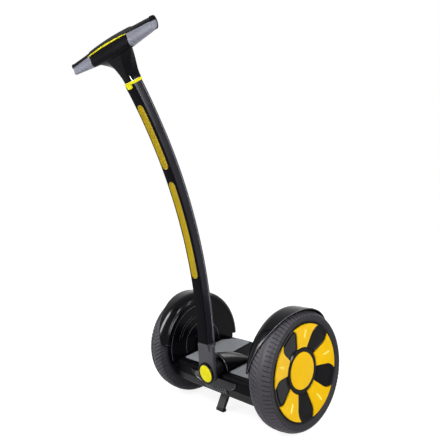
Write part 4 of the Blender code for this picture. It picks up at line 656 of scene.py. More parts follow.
TREAD_COLUMNS = ((0.0, 0), (0.41, 0), (0.80, 0), (0.85, 1), (0.95, 1))
TYRE_SKIN = (
    (0.0370, 0.1500, 0), (0.0388, 0.1512, 0), (0.0404, 0.1532, 0), (0.0408, 0.1552, 0),
    (0.0398, 0.1562, 0), (0.0410, 0.1580, 0), (0.0424, 0.1606, 0), (0.0431, 0.1634, 0.15),
    (0.0432, 0.1660, 0.6), (0.0424, 0.1688, 0.9), (0.0406, 0.1714, 1), (0.0378, 0.1738, 1),
    (0.0340, 0.1760, 1), (0.0295, 0.1781, 1), (0.0222, 0.1806, 1), (0.0216, 0.1800, 0),
    (0.0208, 0.1788, 0), (0.0062, 0.1815, 0), (0.0052, 0.1826, 0), (0.0046, 0.1829, 0),
    (0.0030, 0.1830, 0), (0.0018, 0.1830, 1), (-0.0060, 0.1830, 1), (-0.0130, 0.1829, 1),
    (-0.0190, 0.1820, 1), (-0.0245, 0.1797, 1), (-0.0295, 0.1762, 1), (-0.0335, 0.1722, 1),
    (-0.0362, 0.1688, 0.4), (-0.0378, 0.1658, 0), (-0.0385, 0.1625, 0), (-0.0381, 0.1575, 0),
    (-0.0370, 0.1500, 0), (-0.0310, 0.1500, 0), (-0.0300, 0.1600, 0), (-0.0200, 0.1700, 0),
    (0.0200, 0.1700, 0), (0.0330, 0.1610, 0), (0.0310, 0.1500, 0),
)


def tyre():
    """A tyre with slanted sipes inboard of a smooth band and straight ribs outboard of it."""
    pitch = math.tau / TREAD_PITCHES
    columns = [((index + offset) * pitch, cut)
               for index in range(TREAD_PITCHES) for offset, cut in TREAD_COLUMNS]
    loops = []
    for along, radius, share in TYRE_SKIN:
        slant = RIB_SLANT if along > 0.005 else SIPE_SLANT
        loops.append([on_wheel(along, radius - TREAD_DEPTH * share * cut, angle - slant * along)
                      for angle, cut in columns])
    return loft(loops, ring=True)


def petal(middle):
    """A petal with rounded edges and a slight crown."""
    edge = PETAL_EDGE
    radii = [PETAL_INNER, PETAL_INNER + edge * 0.3, PETAL_INNER + edge]
    radii += spread(PETAL_INNER + edge, PETAL_FLARE_START, 5)[1:]
    radii += spread(PETAL_FLARE_START, PETAL_OUTER - edge, 8)[1:]
    radii += [PETAL_OUTER - edge * 0.3, PETAL_OUTER]
    loops = []
    for radius in radii:
        half = petal_half(radius) * radius
        across = [-half, -half + edge * 0.3, -half + edge] + spread(-half + edge, half - edge, 8)[1:]
        across += [half - edge * 0.3, half]
        face = petal_face(radius) - round_off(min(radius - PETAL_INNER, PETAL_OUTER - radius), edge)
        rim = []
        for place in across:
            crown = PETAL_CROWN * (place / half) ** 2
            rim.append((min(face, petal_face(radius) - round_off(half - abs(place), edge)) - crown, place))
        back = [(petal_face(radius) - PETAL_THICKNESS, place) for _, place in reversed(rim)]
        loops.append([on_wheel(along, radius, middle + place / radius) for along, place in rim + back])
    return loft(loops, ends="strip")


def petal_ridge(middle):
    """The short ridge that stands on a petal."""
    loops = []
    for share in spread(-1.0, 1.0, 16):
        radius = between(RIDGE_START, RIDGE_END, (share + 1) / 2)
        taper = math.sqrt(max(0.02, 1 - abs(share) ** 5))
        base = petal_face(radius) - RIDGE_ROOT
        loops.append([on_wheel(base + (RIDGE_HEIGHT + RIDGE_ROOT) * taper * math.sin(turn), radius,
                               middle + RIDGE_HALF_WIDTH * taper * math.cos(turn) / radius)
                      for turn in spread(0, math.pi, 8)])
    return loft(loops)


def cover_face(radius):
    return petal_face(radius) - COVER_SINK


def cover_panel(middle):
    """A framed panel between two petals: a raised border round a sunk field."""
    low, high = PANEL_REACH
    border = ((0.0, -0.0010), (0.0, PANEL_RISE - 0.0004), (0.0005, PANEL_RISE), (0.0019, PANEL_RISE),
              (0.0024, PANEL_RISE - 0.0004), (0.0028, GAP))
    loops = []
    for inset, rise in border:
        start, end = low + inset, high - inset
        outline = []
        for radius in spread(start, end, 10):
            reach = math.pi / PETAL_COUNT - petal_half(radius) - (PANEL_MARGIN + inset) / radius
            outline.append((radius, -reach))
        far = outline[-1][1]
        outline += [(end, between(far, -far, share)) for share in spread(0, 1, 12)[1:]]
        near = outline[0][1]
        outline += [(radius, -angle) for radius, angle in reversed(outline[:10])]
        outline += [(start, between(-near, near, share)) for share in spread(0, 1, 12)[1:-1]]
        loops.append([on_wheel(cover_face(radius) + rise, radius, middle + angle)
                      for radius, angle in outline])
    return loft(loops)


def motor_drum():
    """A rim with a web across it, which leaves room for the motor inboard and the cover outboard."""
    return turned([
        (-0.0370, 0.1497), (0.0364, 0.1497), (0.0370, 0.1491), (0.0370, 0.1472), (0.0362, LIP_RADIUS),
        (0.0185, LIP_RADIUS), (0.0185, 0.0213), (0.0075, 0.0213), (0.0120, 0.0303), (0.0120, 0.1300),
        (-0.0370, 0.1300),
    ])


def motor_plate():
    """The inboard plate, with low spokes and a circle of screws."""
    details = []
    for index in range(PLATE_RIBS):
        rib = prism(rectangle(-0.0016, 0.0016, 0.050, 0.112), -0.0368, -0.0356)
        rib.transform(Matrix.Rotation(math.tau * index / PLATE_RIBS, 4, "X"))
        details.append(rib)
    for index in range(PLATE_SCREWS):
        turn = math.tau * (index + 0.5) / PLATE_SCREWS
        a, b = PLATE_SCREW_CIRCLE * math.cos(turn), PLATE_SCREW_CIRCLE * math.sin(turn)
        details.append(screw((-0.0364, a, b), 0.0035, (-1, 0, 0)))
    plate = turned([
        (-0.0365, 0.1297), (-0.0365, 0.1180), (-0.0356, 0.1165), (-0.0356, 0.0440), (-0.0368, 0.0425),
        (-0.0368, 0.0200), (-0.0352, 0.0180), (-0.0352, 0.0125), (-0.0325, 0.0125), (-0.0325, 0.1297),
    ])
    return together([plate] + details)


def wheel_cover():
    """The dished cover with a fine groove near its rim, a ring round the hub cap, and its panels."""
    dish = turned([
        (cover_face(COVER_RIM) - 0.0006, COVER_RIM), (cover_face(0.1455), 0.1455),
        (cover_face(0.1380), 0.1380), (cover_face(0.1376) - 0.0009, 0.1376),
        (cover_face(0.1360) - 0.0009, 0.1360), (cover_face(0.1356), 0.1356),
        (cover_face(PETAL_INNER), PETAL_INNER), (HUB_RING_FACE - 0.0012, HUB_RING_OUTER),
        (HUB_RING_FACE, HUB_RING_OUTER - 0.0014), (HUB_RING_FACE, HUB_CAP_RADIUS + 0.0020),
        (HUB_RING_FACE - 0.0010, HUB_CAP_RADIUS + GAP), (COVER_SEAT, HUB_CAP_RADIUS + GAP),
        (COVER_SEAT, PETAL_INNER), (cover_face(COVER_RIM) - 0.0030, COVER_RIM),
    ])
    return together([dish] + [cover_panel(middle + math.pi / PETAL_COUNT) for middle in PETAL_MIDDLES])


def petal_disc():
    return together([petal(middle) for middle in PETAL_MIDDLES])


def petal_ridges():
    return together([petal_ridge(middle) for middle in PETAL_MIDDLES])


def hub_cap():
    return turned([
        (COVER_SEAT, 0.0), (COVER_SEAT, HUB_CAP_RADIUS), (0.0236, HUB_CAP_RADIUS),
        (0.0246, HUB_CAP_RADIUS - 0.0004), (0.0252, HUB_CAP_RADIUS - 0.0014), (0.0256, 0.0520),
        (0.0263, 0.0440), (0.0268, 0.0330), (0.0271, 0.0200), (0.0272, 0.0090), (0.0272, 0.0),
    ], closed=False)


def on_wheels(name, make, slot, **options):
    """The same piece on both wheels, made round the left wheel's centre."""
    for side, label in SIDES:
        centre = Matrix.Translation((side * WHEEL_CENTRE, AXLE.y, WHEEL_RADIUS))
        piece(f"{name}_{label}", mirrored(make(), side), slot, f"wheel_{label}", place=centre, **options)


on_wheels("tyre", tyre, "tyre_rubber", sharp=38)
on_wheels("motor_drum", motor_drum, "black_metal", look="black_plastic")
on_wheels("motor_plate", motor_plate, "black_metal")
on_wheels("wheel_cover", wheel_cover, "black_plastic", look="black_gloss", sharp=24)
on_wheels("petal_disc", petal_disc, "yellow_plastic")
# The ridges' paler yellow is a painted highlight.
on_wheels("petal_ridges", petal_ridges, "yellow_plastic", look="ridge_highlight_yellow")
on_wheels("hub_cap", hub_cap, "yellow_plastic", sharp=50)


# The fenders and axle covers

def fender_reach(angle):
    first, widest, last = FENDER_ANGLES
    share = (angle - first) / (widest - first) if angle < widest else (last - angle) / (last - widest)
    return between(*FENDER_REACHES, math.sin(share * math.pi / 2))


def fender_shoulder(angle):
    """Width, start and rise of the quarter oval that carries the flank up to the crest."""
    first, last = SHOULDER_TURNS
    share = min(1.0, max(0.0, (angle - first) / (last - first)))
    start = between(*SHOULDER_STARTS, share)
    return between(*SHOULDER_WIDTHS, share), start, FENDER_CREST - start


def fender_skin(angle, inset, steps=18):
    """One skin of the fender at an angle round the axle, from the flank to the edge, as (x, radius)."""
    width, start, rise = fender_shoulder(angle)
    reach = fender_reach(angle)
    centre = FENDER_FACE + width
    end = min(centre, reach - 0.0040)
    across, up = width - inset, rise - inset
    last_turn = math.acos((centre - end) / across)
    points = [(centre - across * math.cos(turn), start + up * math.sin(turn))
              for turn in spread(0.0, last_turn, steps)]
    top = points[-1][1]
    for share in spread(0.0, 1.0, 8)[1:]:
        points.append((between(end, reach - 0.0016, share), top - FENDER_EDGE_DROP * share ** 2))
    return points


def shoulder_point(angle, radius):
    """Where the fender's outer skin is at a radius on its shoulder."""
    width, start, rise = fender_shoulder(angle)
    turn = math.asin(min(1.0, max(0.0, (radius - start) / rise)))
    return on_wheel(FENDER_FACE + width - width * math.cos(turn), radius, angle)


def fender():
    """The band over the tyre with its lip and lines, and the flank beside the deck with its screws."""
    first, _, last = FENDER_ANGLES
    loops = []
    for angle in spread(first, last, 84):
        skin = [(FENDER_FACE + GAP, FENDER_ROOT)] + fender_skin(angle, GAP)
        inner = [(FENDER_FACE + FENDER_WALL - GAP, FENDER_ROOT)] + fender_skin(angle, FENDER_WALL)
        loops.append([on_wheel(along, radius, angle) for along, radius in skin + inner[::-1]])
    band = loft(loops, ends="strip")
    end_skins = []
    for angle in (first, last):
        outer, inner = fender_skin(angle, GAP), fender_skin(angle, FENDER_WALL)
        end_skins.append([on_wheel((a[0] + b[0]) / 2, (a[1] + b[1]) / 2, angle)
                          for a, b in zip(outer, inner)])
    edge = []
    for angle in spread(first, last, 84):
        along, radius = fender_skin(angle, GAP)[-1]
        edge.append(on_wheel(along - 0.0004, radius - 0.0020, angle))
    lip = tube(end_skins[0][:-1] + edge + end_skins[1][-2::-1], 0.0020)
    low_angle = math.asin(FLANK_BOTTOM / FLANK_RADIUS)
    outline = [(-y, z) for y, z in arc(FLANK_RADIUS, low_angle, math.pi - low_angle, 120)]
    flank = prism(outline, FENDER_FACE, FENDER_FACE + FENDER_WALL)
    meshes = [band, lip, flank]
    for radius, thick in SHOULDER_LINES:
        line = [shoulder_point(angle, radius) for angle in spread(first, last, 96)]
        meshes.append(tube(line, thick, steps=8))
    for angle in (0.0, math.pi):
        meshes.append(screw(on_wheel(FENDER_FACE + 0.0002, FLANK_SCREW_RADIUS, angle), 0.0032, (-1, 0, 0)))
    return together(meshes)


def flank_lines():
    """The fine arcs on the flank, round the axle, and the line along the fender's free edge, all grey as a
    painted highlight.
    """
    lines = []
    for radius, thick, start, end in FLANK_ARCS:
        lines.append(tube([on_wheel(FENDER_FACE + 0.0001, radius, angle)
                           for angle in spread(math.radians(start), math.radians(end), 72)], thick, steps=6))
    edge = []
    for angle in spread(*EDGE_LINE_TURNS, 72):
        along, radius = fender_skin(angle, GAP)[-1]
        edge.append(on_wheel(along + 0.0008, radius + 0.0002, angle))
    lines.append(tube(edge, 0.0007, steps=6))
    return together(lines)


def axle_cover():
    """A rounded arch over the axle's end plate, closed against the deck."""
    bottom = DECK_TOP + GAP

    def station(place, radius):
        return crosswise(arc(radius, 0, math.pi, 48) + [(-radius, bottom), (radius, bottom)], place, "X")

    loops = [station(AXLE_COVER_FACE + AXLE_COVER_ROUND * (1 - math.cos(turn)),
                     AXLE_COVER_RADIUS - AXLE_COVER_ROUND * (1 - math.sin(turn)))
             for turn in spread(0, math.pi / 2, 5)]
    loops.append(station(DECK_HALF, AXLE_COVER_RADIUS))
    ring = crosswise(arc(0.024, -0.5, math.pi + 0.5, 48), AXLE_COVER_FACE + 0.0002, "X")
    return together([loft(loops), tube(ring, 0.0006, steps=6)])


pair("fender", fender, "black_gloss", "base", sharp=40)
# The flank's arcs and the fender's edge line are grey as a painted highlight.
pair("flank_lines", flank_lines, "black_gloss", "base", look="faint_highlight_grey")
pair("axle_cover", axle_cover, "black_gloss", "base", sharp=40)


# The deck

def front_y(level, inset=0.0):
    """The place of the leaning front face at a height."""
    return between(*BODY_FRONT, (level - DECK_TOP) / (BODY_BOTTOM - DECK_TOP)) + inset


def rear_y(level, inset=0.0):
    return between(*BODY_REAR, max(0.0, (level - PARTING) / (BODY_BOTTOM - PARTING))) - inset


def mat_outline(grow):
    return rounded([
        (MAT_INNER[0] - grow, MAT_FRONT - grow),
        (MAT_OUTER + grow, MAT_FRONT - grow),
        (MAT_OUTER + grow, MAT_REAR - MAT_REAR_CUT),
        (MAT_OUTER + grow - MAT_REAR_CUT, MAT_REAR + grow),
        (MAT_INNER[1] - grow, MAT_REAR + grow),
    ], [0.007 + grow, 0.007 + grow, 0.014 + grow, 0.014 + grow, 0.014 + grow], 8)


def mat_loops(levels):
    """Loops of the mat's outline at (height, growth) pairs."""
    return [[(x, y, z) for x, y in mat_outline(grow)] for z, grow in levels]


def upper_shell():
    """The deck's hollow top half, with pockets for the mats, holes, and what is raised round them."""
    shell = prism(rounded([
        (front_y(PARTING) + SEAM, PARTING), (front_y(PARTING + SEAM), PARTING + SEAM),
        (BODY_FRONT[0], DECK_TOP), (BODY_REAR[0], DECK_TOP), (BODY_REAR[0], PARTING + SEAM),
        (BODY_REAR[0] - SEAM, PARTING),
    ], [0, 0, 0.012, 0.012, 0, 0], 10), -DECK_HALF, DECK_HALF)
    room_top = DECK_TOP - 0.0088
    shell = carved(shell, prism([
        (front_y(PARTING, WALL), PARTING - WALL), (front_y(room_top, WALL), room_top),
        (BODY_REAR[0] - WALL, room_top), (BODY_REAR[0] - WALL, PARTING - WALL),
    ], WALL - DECK_HALF, DECK_HALF - WALL))
    pocket = ((MAT_TOP - MAT_THICKNESS - MAT_TRAVEL - GAP, 2 * GAP), (0.0, 2 * GAP))
    shell = carved(shell, together([mirrored(loft(mat_loops(pocket)), side) for side, _ in SIDES]))
    holes = [moved(prism(circle(TUBE_ROOM, 48), -0.142, -0.046, across="Y"), (0, 0, PIVOT_Z))]
    details = []
    for x, hole_radius, radius in REAR_FITTINGS:
        hole = circle(hole_radius, 32, (x, REAR_FITTING_Z))
        holes.append(prism(hole, BODY_REAR[0] - 2 * WALL, BODY_REAR[0] + WALL, across="Y"))
        bezel = turned([
            (-0.0010, radius), (-0.0010, radius + 0.0022), (0.0006, radius + 0.0018),
            (0.0012, radius + 0.0010), (0.0006, radius + 0.0002),
        ], steps=48, across="Y")
        details.append(moved(bezel, (x, BODY_REAR[0], REAR_FITTING_Z)))
    for side, _ in SIDES:
        lip = loft(mat_loops((
            (DECK_TOP - 0.0010, 0.0010), (DECK_TOP + 0.0006, 0.0012), (DECK_TOP + 0.0012, 0.0020),
            (DECK_TOP + 0.0010, 0.0034), (DECK_TOP - 0.0010, 0.0044),
        )), ring=True)
        details.append(mirrored(lip, side))
        details.append(screw((side * 0.172, BODY_REAR[0] - 0.0004, REAR_FITTING_Z), 0.0034, (0, 1, 0)))
    return together([carved(shell, together(holes))] + details)


def lower_shell():
    """The tray under the deck, with room for the kickstand's hinge, low ribs and four screws."""
    top = PARTING - GAP
    shell = prism(rounded([
        (front_y(top) + SEAM, top), (front_y(top - SEAM), top - SEAM), (BODY_FRONT[1], BODY_BOTTOM),
        (BODY_REAR[1], BODY_BOTTOM), (rear_y(top - SEAM), top - SEAM), (rear_y(top) - SEAM, top),
    ], [0, 0, 0.006, 0.006, 0, 0], 8), -DECK_HALF, DECK_HALF)
    tray_floor = BODY_BOTTOM + WALL
    shell = carved(shell, prism([
        (front_y(PARTING, WALL), PARTING + WALL), (front_y(tray_floor, WALL), tray_floor),
        (rear_y(tray_floor, WALL), tray_floor), (rear_y(PARTING, WALL), PARTING + WALL),
    ], WALL - DECK_HALF, DECK_HALF - WALL))
    hinge = DECK.inverted() @ HINGE
    room = rounded(rectangle(STAND_X - HINGE_ROOM, STAND_X + HINGE_ROOM, hinge.y - 0.0120, hinge.y + 0.0312),
                   0.003, 4)
    shell = carved(shell, prism(room, BODY_BOTTOM - WALL, tray_floor + 0.001, across="Z"))
    details = []
    for place in TRAY_RIBS:
        rib = rounded(rectangle(place - 0.0016, place + 0.0016, -0.100, 0.104), 0.0015, 3)
        details.append(prism(rib, BODY_BOTTOM - 0.0008, BODY_BOTTOM + 0.001, across="Z"))
    for x in (-0.168, 0.168):
        for y in (-0.104, 0.112):
            details.append(screw((x, y, BODY_BOTTOM - 0.0002), 0.0040, (0, 0, -1)))
    return together([shell] + details)


def inward(x, z, middle, inset):
    """A point of the front view, drawn in towards a middle."""
    away = Vector((x - middle[0], z - middle[1]))
    shrunk = away * (1 - inset / away.length)
    return middle[0] + shrunk.x, middle[1] + shrunk.y


def apron():
    """The U-shaped plate round the pivot tube, with a rounded rim."""
    notch = TUBE_ROOM - 0.0004
    top, bottom = DECK_TOP - 0.0126, GRILLE_TOP + 0.0006
    notch_angle = math.asin((PIVOT_Z - top) / notch)
    outline = arc(notch, math.pi + notch_angle, math.tau - notch_angle, 40, (0, PIVOT_Z))
    corners = [(APRON_HALF_WIDTH, top), (APRON_HALF_WIDTH * 0.94, between(top, bottom, 0.46)),
               (APRON_HALF_WIDTH * 0.79, between(top, bottom, 0.80)), (GRILLE_HALF_WIDTH * 1.02, bottom)]
    flank = []
    for index, (x, z) in enumerate(corners):
        if index in (0, len(corners) - 1):
            flank.append((x, z))
            continue
        before, after = Vector(corners[index - 1]), Vector(corners[index + 1])
        here = Vector((x, z))
        start, end = here.lerp(before, 0.4), here.lerp(after, 0.4)
        for share in spread(0, 1, 6):
            flank.append(tuple(start.lerp(here, share).lerp(here.lerp(end, share), share)))
    outline += flank + [(-x, z) for x, z in reversed(flank)]
    middle = (0, between(top, bottom, 0.6))
    loops = []
    for depth, inset in ((GAP, 0.0), (0.0026, 0.0), (0.0034, 0.0004), (0.0038, 0.0012)):
        shrunk = [inward(x, z, middle, inset if math.hypot(x, z - PIVOT_Z) > TUBE_ROOM else 0.0)
                  for x, z in outline]
        loops.append([(x, front_y(z) - depth, z) for x, z in shrunk])
    # Rims along the apron's flanks, shown grey as a painted highlight.
    rims = [tube([(side * x, front_y(z) - 0.0034, z) for x, z in flank], 0.0011, 6) for side, _ in SIDES]
    return loft(loops), together(rims)


def grille():
    """Slanted rounded ribs on a thin plate."""
    pitch = 2 * GRILLE_HALF_WIDTH / (GRILLE_RIBS + 1)
    slant = pitch * 0.8
    levels = ((GRILLE_TOP, -slant / 2, 1.0), (GRILLE_BOTTOM, slant / 2, GRILLE_SQUEEZE))
    loops = []
    for z, shift, squeeze in levels:
        face = front_y(z) - GAP
        loops.append([(x * squeeze + shift, face - depth, z)
                      for x, depth in rectangle(-GRILLE_HALF_WIDTH, GRILLE_HALF_WIDTH, 0.0, 0.0012)])
    plate = loft(loops)
    ribs = []
    for rib in range(GRILLE_RIBS):
        middle = (rib - (GRILLE_RIBS - 1) / 2) * pitch
        loops = []
        for share in spread(0.0, 1.0, 8):
            z = between(GRILLE_TOP, GRILLE_BOTTOM, share)
            centre = middle * between(1.0, GRILLE_SQUEEZE, share) + between(-slant / 2, slant / 2, share)
            rise = 0.0032 * math.sqrt(max(0.05, 1 - abs(2 * share - 1) ** 6))
            face = front_y(z) - 0.0008
            loops.append([(centre + pitch * 0.12 * math.cos(turn), face - rise * math.sin(turn), z)
                          for turn in spread(0, math.pi, 8)])
        ribs.append(loft(loops))
    return plate, together(ribs)


def arch(y, half_width, height, steps=40):
    """Half an oval that stands on the deck, as points across it."""
    base = DECK_TOP + GAP
    return [(-half_width * math.cos(turn), y, base + height * math.sin(turn))
            for turn in spread(0, math.pi, steps)]


def pivot_cover():
    """The sloping cover over the pivot tube, hollow, with a rounded front rim."""
    def station(y, edge=0.0):
        along = (y - HUMP_FRONT) / (HUMP_TAIL - HUMP_FRONT)
        width = HUMP_HALF_WIDTH * (1 - HUMP_NARROWING * along) - edge
        return width, max(2 * WALL, HUMP_HEIGHT * (1 - along) ** HUMP_POWER) - edge

    loops = []
    for turn in spread(0.0, math.pi / 2, 6):
        y = HUMP_FRONT + HUMP_EDGE * (1 - math.cos(turn))
        width, height = station(y, HUMP_EDGE * (1 - math.sin(turn)))
        loops.append(arch(y, width, height) + arch(y, MOUTH_HALF_WIDTH, MOUTH_HEIGHT)[::-1])
    for y in spread(HUMP_FRONT + HUMP_EDGE + GAP, HUMP_TAIL, 40):
        width, height = station(y)
        loops.append(arch(y, width, height) + arch(y, width - WALL, height - WALL)[::-1])
    return loft(loops, ends="strip")


def cover_rim():
    """A fine line round the pivot cover's mouth, grey as a painted highlight."""
    return tube(arch(HUMP_FRONT + 0.0012, HUMP_HALF_WIDTH - 0.0026, HUMP_HEIGHT - 0.0026), 0.0009, 6)


def foot_mat():
    """A rubber mat with a raised border and long low ribs in its field."""
    base = loft(mat_loops((
        (MAT_TOP - MAT_THICKNESS, 0.0), (MAT_TOP - 0.0010, 0.0), (MAT_TOP - 0.0003, -0.0004),
        (MAT_TOP, -0.0012), (MAT_TOP, -0.0052), (MAT_TOP - 0.0002, -0.0058), (MAT_TOP - 0.0009, -0.0062),
    )))
    meshes = [base]
    for x in spread(*MAT_RIBS):
        rear = min(MAT_REAR - 0.012, MAT_REAR - MAT_REAR_CUT + (MAT_OUTER - x) - 0.010)
        bar = rounded(rectangle(x - 0.0016, x + 0.0016, MAT_FRONT + 0.012, rear), 0.0015, 3)
        meshes.append(prism(bar, MAT_TOP - 0.0012, MAT_TOP - 0.0003, across="Z"))
    return together(meshes)


piece("upper_shell", upper_shell(), "black_gloss", "base", look="front_black", sharp=28)
piece("lower_shell", lower_shell(), "black_plastic", "base", sharp=28)
apron_plate, apron_rims = apron()
piece("front_apron", apron_plate, "black_gloss", "base", look="apron_black", sharp=40)
# The apron's rims are grey as a painted highlight.
piece("apron_rims", apron_rims, "black_gloss", "base", look="faint_highlight_grey")
grille_plate, grille_ribs = grille()
piece("front_grille", grille_plate, "black_plastic", "base", sharp=40)
# The grille's ribs are grey as a painted highlight on the black plastic.
piece("grille_ribs", grille_ribs, "black_plastic", "base", look="highlight_grey", sharp=40)
piece("pivot_cover", pivot_cover(), "black_gloss", "base", look="cover_black", sharp=50)
# The cover's rim line is grey as a painted highlight.
piece("cover_rim", cover_rim(), "black_gloss", "base", look="highlight_grey")
pair("foot_mat", foot_mat, "grey_rubber", sharp=35)


# The steering stem

def plate_face(level):
    """The bracket plate leans with its foot forward: its front face at a height."""
    return BRACKET_FACE + BRACKET_LEAN * (level - PIVOT_Z)


CAP_BACK = plate_face(PIVOT_Z - CAP_RADIUS) - GAP


def bracket():
    """The plate with rounded edges, and its heel under the stem."""
    corner = BRACKET_HALF / 6
    outline = arc(BRACKET_HALF, math.pi, math.tau, 48, (0, PIVOT_Z))
    outline += rounded([(BRACKET_HALF, PIVOT_Z + 0.02), (BRACKET_HALF, BRACKET_SHOULDER),
                        (-BRACKET_HALF, BRACKET_SHOULDER), (-BRACKET_HALF, PIVOT_Z + 0.02)],
                       [0, corner, corner, 0], 8)[1:-1]
    middle = (0, 0.035)
    loops = []
    for depth, inset in ((0.0, 0.0024), (GAP, 0.0014), (0.0, 0.0004), (0.0016, 0.0), (0.0100, 0.0),
                         (BRACKET_THICKNESS, 0.0010)):
        shrunk = [inward(x, z, middle, inset) for x, z in outline]
        loops.append([(x, plate_face(z) + depth, z) for x, z in shrunk])
    low = BRACKET_SHOULDER - 5 * corner
    centre, along, forward = stem_frame(STEM_LOW)
    seat = [centre - along * GAP + forward * STEM_DEPTHS[0] * share for share in (0.5, -0.5)]
    heel = prism([(point.y, point.z) for point in seat] + [
        (seat[1].y, seat[1].z - corner), (plate_face(low) + BRACKET_THICKNESS - GAP, low),
        (plate_face(low) + GAP, low), (seat[0].y, seat[0].z - corner),
    ], -STEM_WIDTHS[0] / 2, STEM_WIDTHS[0] / 2)
    return together([loft(loops), heel])


def cap_ring():
    """The ring round the pivot cap, sunk into the bracket."""
    front = CAP_BACK - 0.0022
    deep = plate_face(PIVOT_Z) + BRACKET_THICKNESS / 2
    ring = turned([
        (CAP_BACK, CAP_RADIUS + GAP), (front + 0.0004, CAP_RADIUS + 0.0006), (front, CAP_RADIUS + 0.0014),
        (front, CAP_RING - 0.0014), (front + 0.0004, CAP_RING - 0.0004), (front + 0.0014, CAP_RING),
        (deep, CAP_RING), (deep, CAP_RADIUS + GAP),
    ], steps=96, across="Y")
    return moved(ring, (0, 0, PIVOT_Z))


def pivot_cap():
    cap = turned([
        (CAP_BACK, 0.0), (CAP_BACK, CAP_RADIUS), (CAP_BACK - 0.0008, CAP_RADIUS),
        (CAP_BACK - 0.0014, CAP_RADIUS - 0.0005), (CAP_BACK - 0.0018, CAP_RADIUS - 0.0014),
        (CAP_BACK - 0.0025, CAP_RADIUS * 0.80), (CAP_BACK - 0.0031, CAP_RADIUS * 0.55),
        (CAP_BACK - 0.0034, CAP_RADIUS * 0.25), (CAP_BACK - 0.0034, 0.0),
    ], steps=96, across="Y", closed=False)
    return moved(cap, (0, 0, PIVOT_Z))


def stem_frame(level, beyond=0.0):
    """The stem's centre line at a height, with its directions along the stem and forward."""
    bend = math.asin((level - STEM_AFT[1]) / BEND_RADIUS)
    along = Vector((0, -math.sin(bend), math.cos(bend)))
    forward = Vector((0, -math.cos(bend), -math.sin(bend)))
    centre = Vector((0, STEM_AFT[0] - BEND_RADIUS * (1 - math.cos(bend)), level)) + along * beyond
    return centre, along, forward


def stem_size(level):
    share = (level - STEM_LOW) / (STEM_HIGH - STEM_LOW)
    return between(*STEM_WIDTHS, share), between(*STEM_DEPTHS, share)


def section_at(outline, level, beyond=0.0):
    """An outline of (x, distance forward) carried to a place on the stem."""
    centre, _, forward = stem_frame(level, beyond)
    return [centre + Vector((x, 0, 0)) + forward * depth for x, depth in outline]


def stem_side(level, share):
    """A point of the rear shell's bowed side, from its front edge back to where its corner starts."""
    width, depth = stem_size(level)
    front = depth / 2 - FRONT_SHELL - 0.0011
    return width / 2 - STEM_BOW * share ** 2, between(front, STEM_REAR_ROUND + 0.0006 - depth / 2, share)


def rear_shell(level):
    """A channel round the core: a broad rounded back, and a thin bright edge beside the front shell."""
    width, depth = stem_size(level)
    side, front = width / 2, depth / 2 - FRONT_SHELL - GAP
    inner, inner_back = side - 0.004, WALL - depth / 2
    bowed = [stem_side(level, share) for share in spread(0.0, 1.0, 8)]
    corners = [(side - 0.0008, front)] + bowed + [(bowed[-1][0], -depth / 2)]
    corners += [(-x, y) for x, y in reversed(corners)]
    radii = [STEM_REAR_ROUND if y == -depth / 2 else 0 for _, y in corners]
    channel = [(-inner, front), (-inner, inner_back), (inner, inner_back), (inner, front)]
    return section_at(rounded(corners, radii, 8) + channel, level)


def front_shell(level):
    width, depth = stem_size(level)
    side, back = width / 2, depth / 2 - FRONT_SHELL
    outline = rounded([
        (-side + 0.0008, back), (side - 0.0008, back), (side, back + 0.0008), (side, depth / 2),
        (-side, depth / 2), (-side, back + 0.0008),
    ], [0, 0, 0, 0.0022, 0.0022, 0], 5)
    return section_at(outline, level)


def insert_rows(low, high, grow, count=56):
    """Heights and half widths of a strip with round ends."""
    half = INSERT_WIDTH / 2 + grow
    rows = []
    for step in range(10):
        turn = math.pi / 2 * (step + 0.5) / 10.5
        rows.append((low - grow + half * (1 - math.cos(turn)), half * math.sin(turn)))
    mirror = [(low + high - z, width) for z, width in reversed(rows)]
    return rows + [(z, half) for z in spread(rows[-1][0], mirror[0][0], count)[1:-1]] + mirror


def insert_window(low, high):
    """The room for an insert in the front shell."""
    loops = []
    for level, width in insert_rows(low, high, 0.0004):
        face = stem_size(level)[1] / 2
        loops.append(section_at([(-width, face - 0.0034), (width, face - 0.0034), (width, face + 0.004),
                                 (-width, face + 0.004)], level))
    return loft(loops)


def insert_trough(low, high):
    """A concave insert with a raised rim along its sides."""
    loops = []
    for level, width in insert_rows(low, high, 0.0):
        face = stem_size(level)[1] / 2 + GAP
        front = []
        for share in spread(-1.0, 1.0, 20):
            place = share * width
            dip = INSERT_TROUGH * max(0.0, 1 - (abs(place) / max(0.0001, width - 0.0016)) ** 2)
            front.append((place, face - 0.0002 - dip * min(1.0, width / 0.012)))
        back = [(place, face - 0.0034) for place, _ in reversed(front)]
        loops.append(section_at(front + back, level))
    return loft(loops, ends="strip")


STEM_LEVELS = spread(STEM_LOW, STEM_HIGH, 64)


def stem_rear_shell():
    return loft([rear_shell(level) for level in STEM_LEVELS])


def stem_front_shell():
    """The front shell with a window for each insert."""
    windows = together([insert_window(low, high) for low, high in INSERTS.values()])
    return carved(loft([front_shell(level) for level in STEM_LEVELS]), windows)


def stem_lines():
    """A fine line along each side of the stem, grey as a painted highlight."""
    lines = []
    for side, _ in SIDES:
        path = []
        for level in spread(STEM_LOW + 0.004, STEM_HIGH - 0.004, 64):
            across, depth = stem_side(level, STEM_LINE_SHARE)
            path += section_at([(side * (across - 0.0002), depth)], level)
        lines.append(tube(path, STEM_LINE_RADIUS, 6))
    return together(lines)


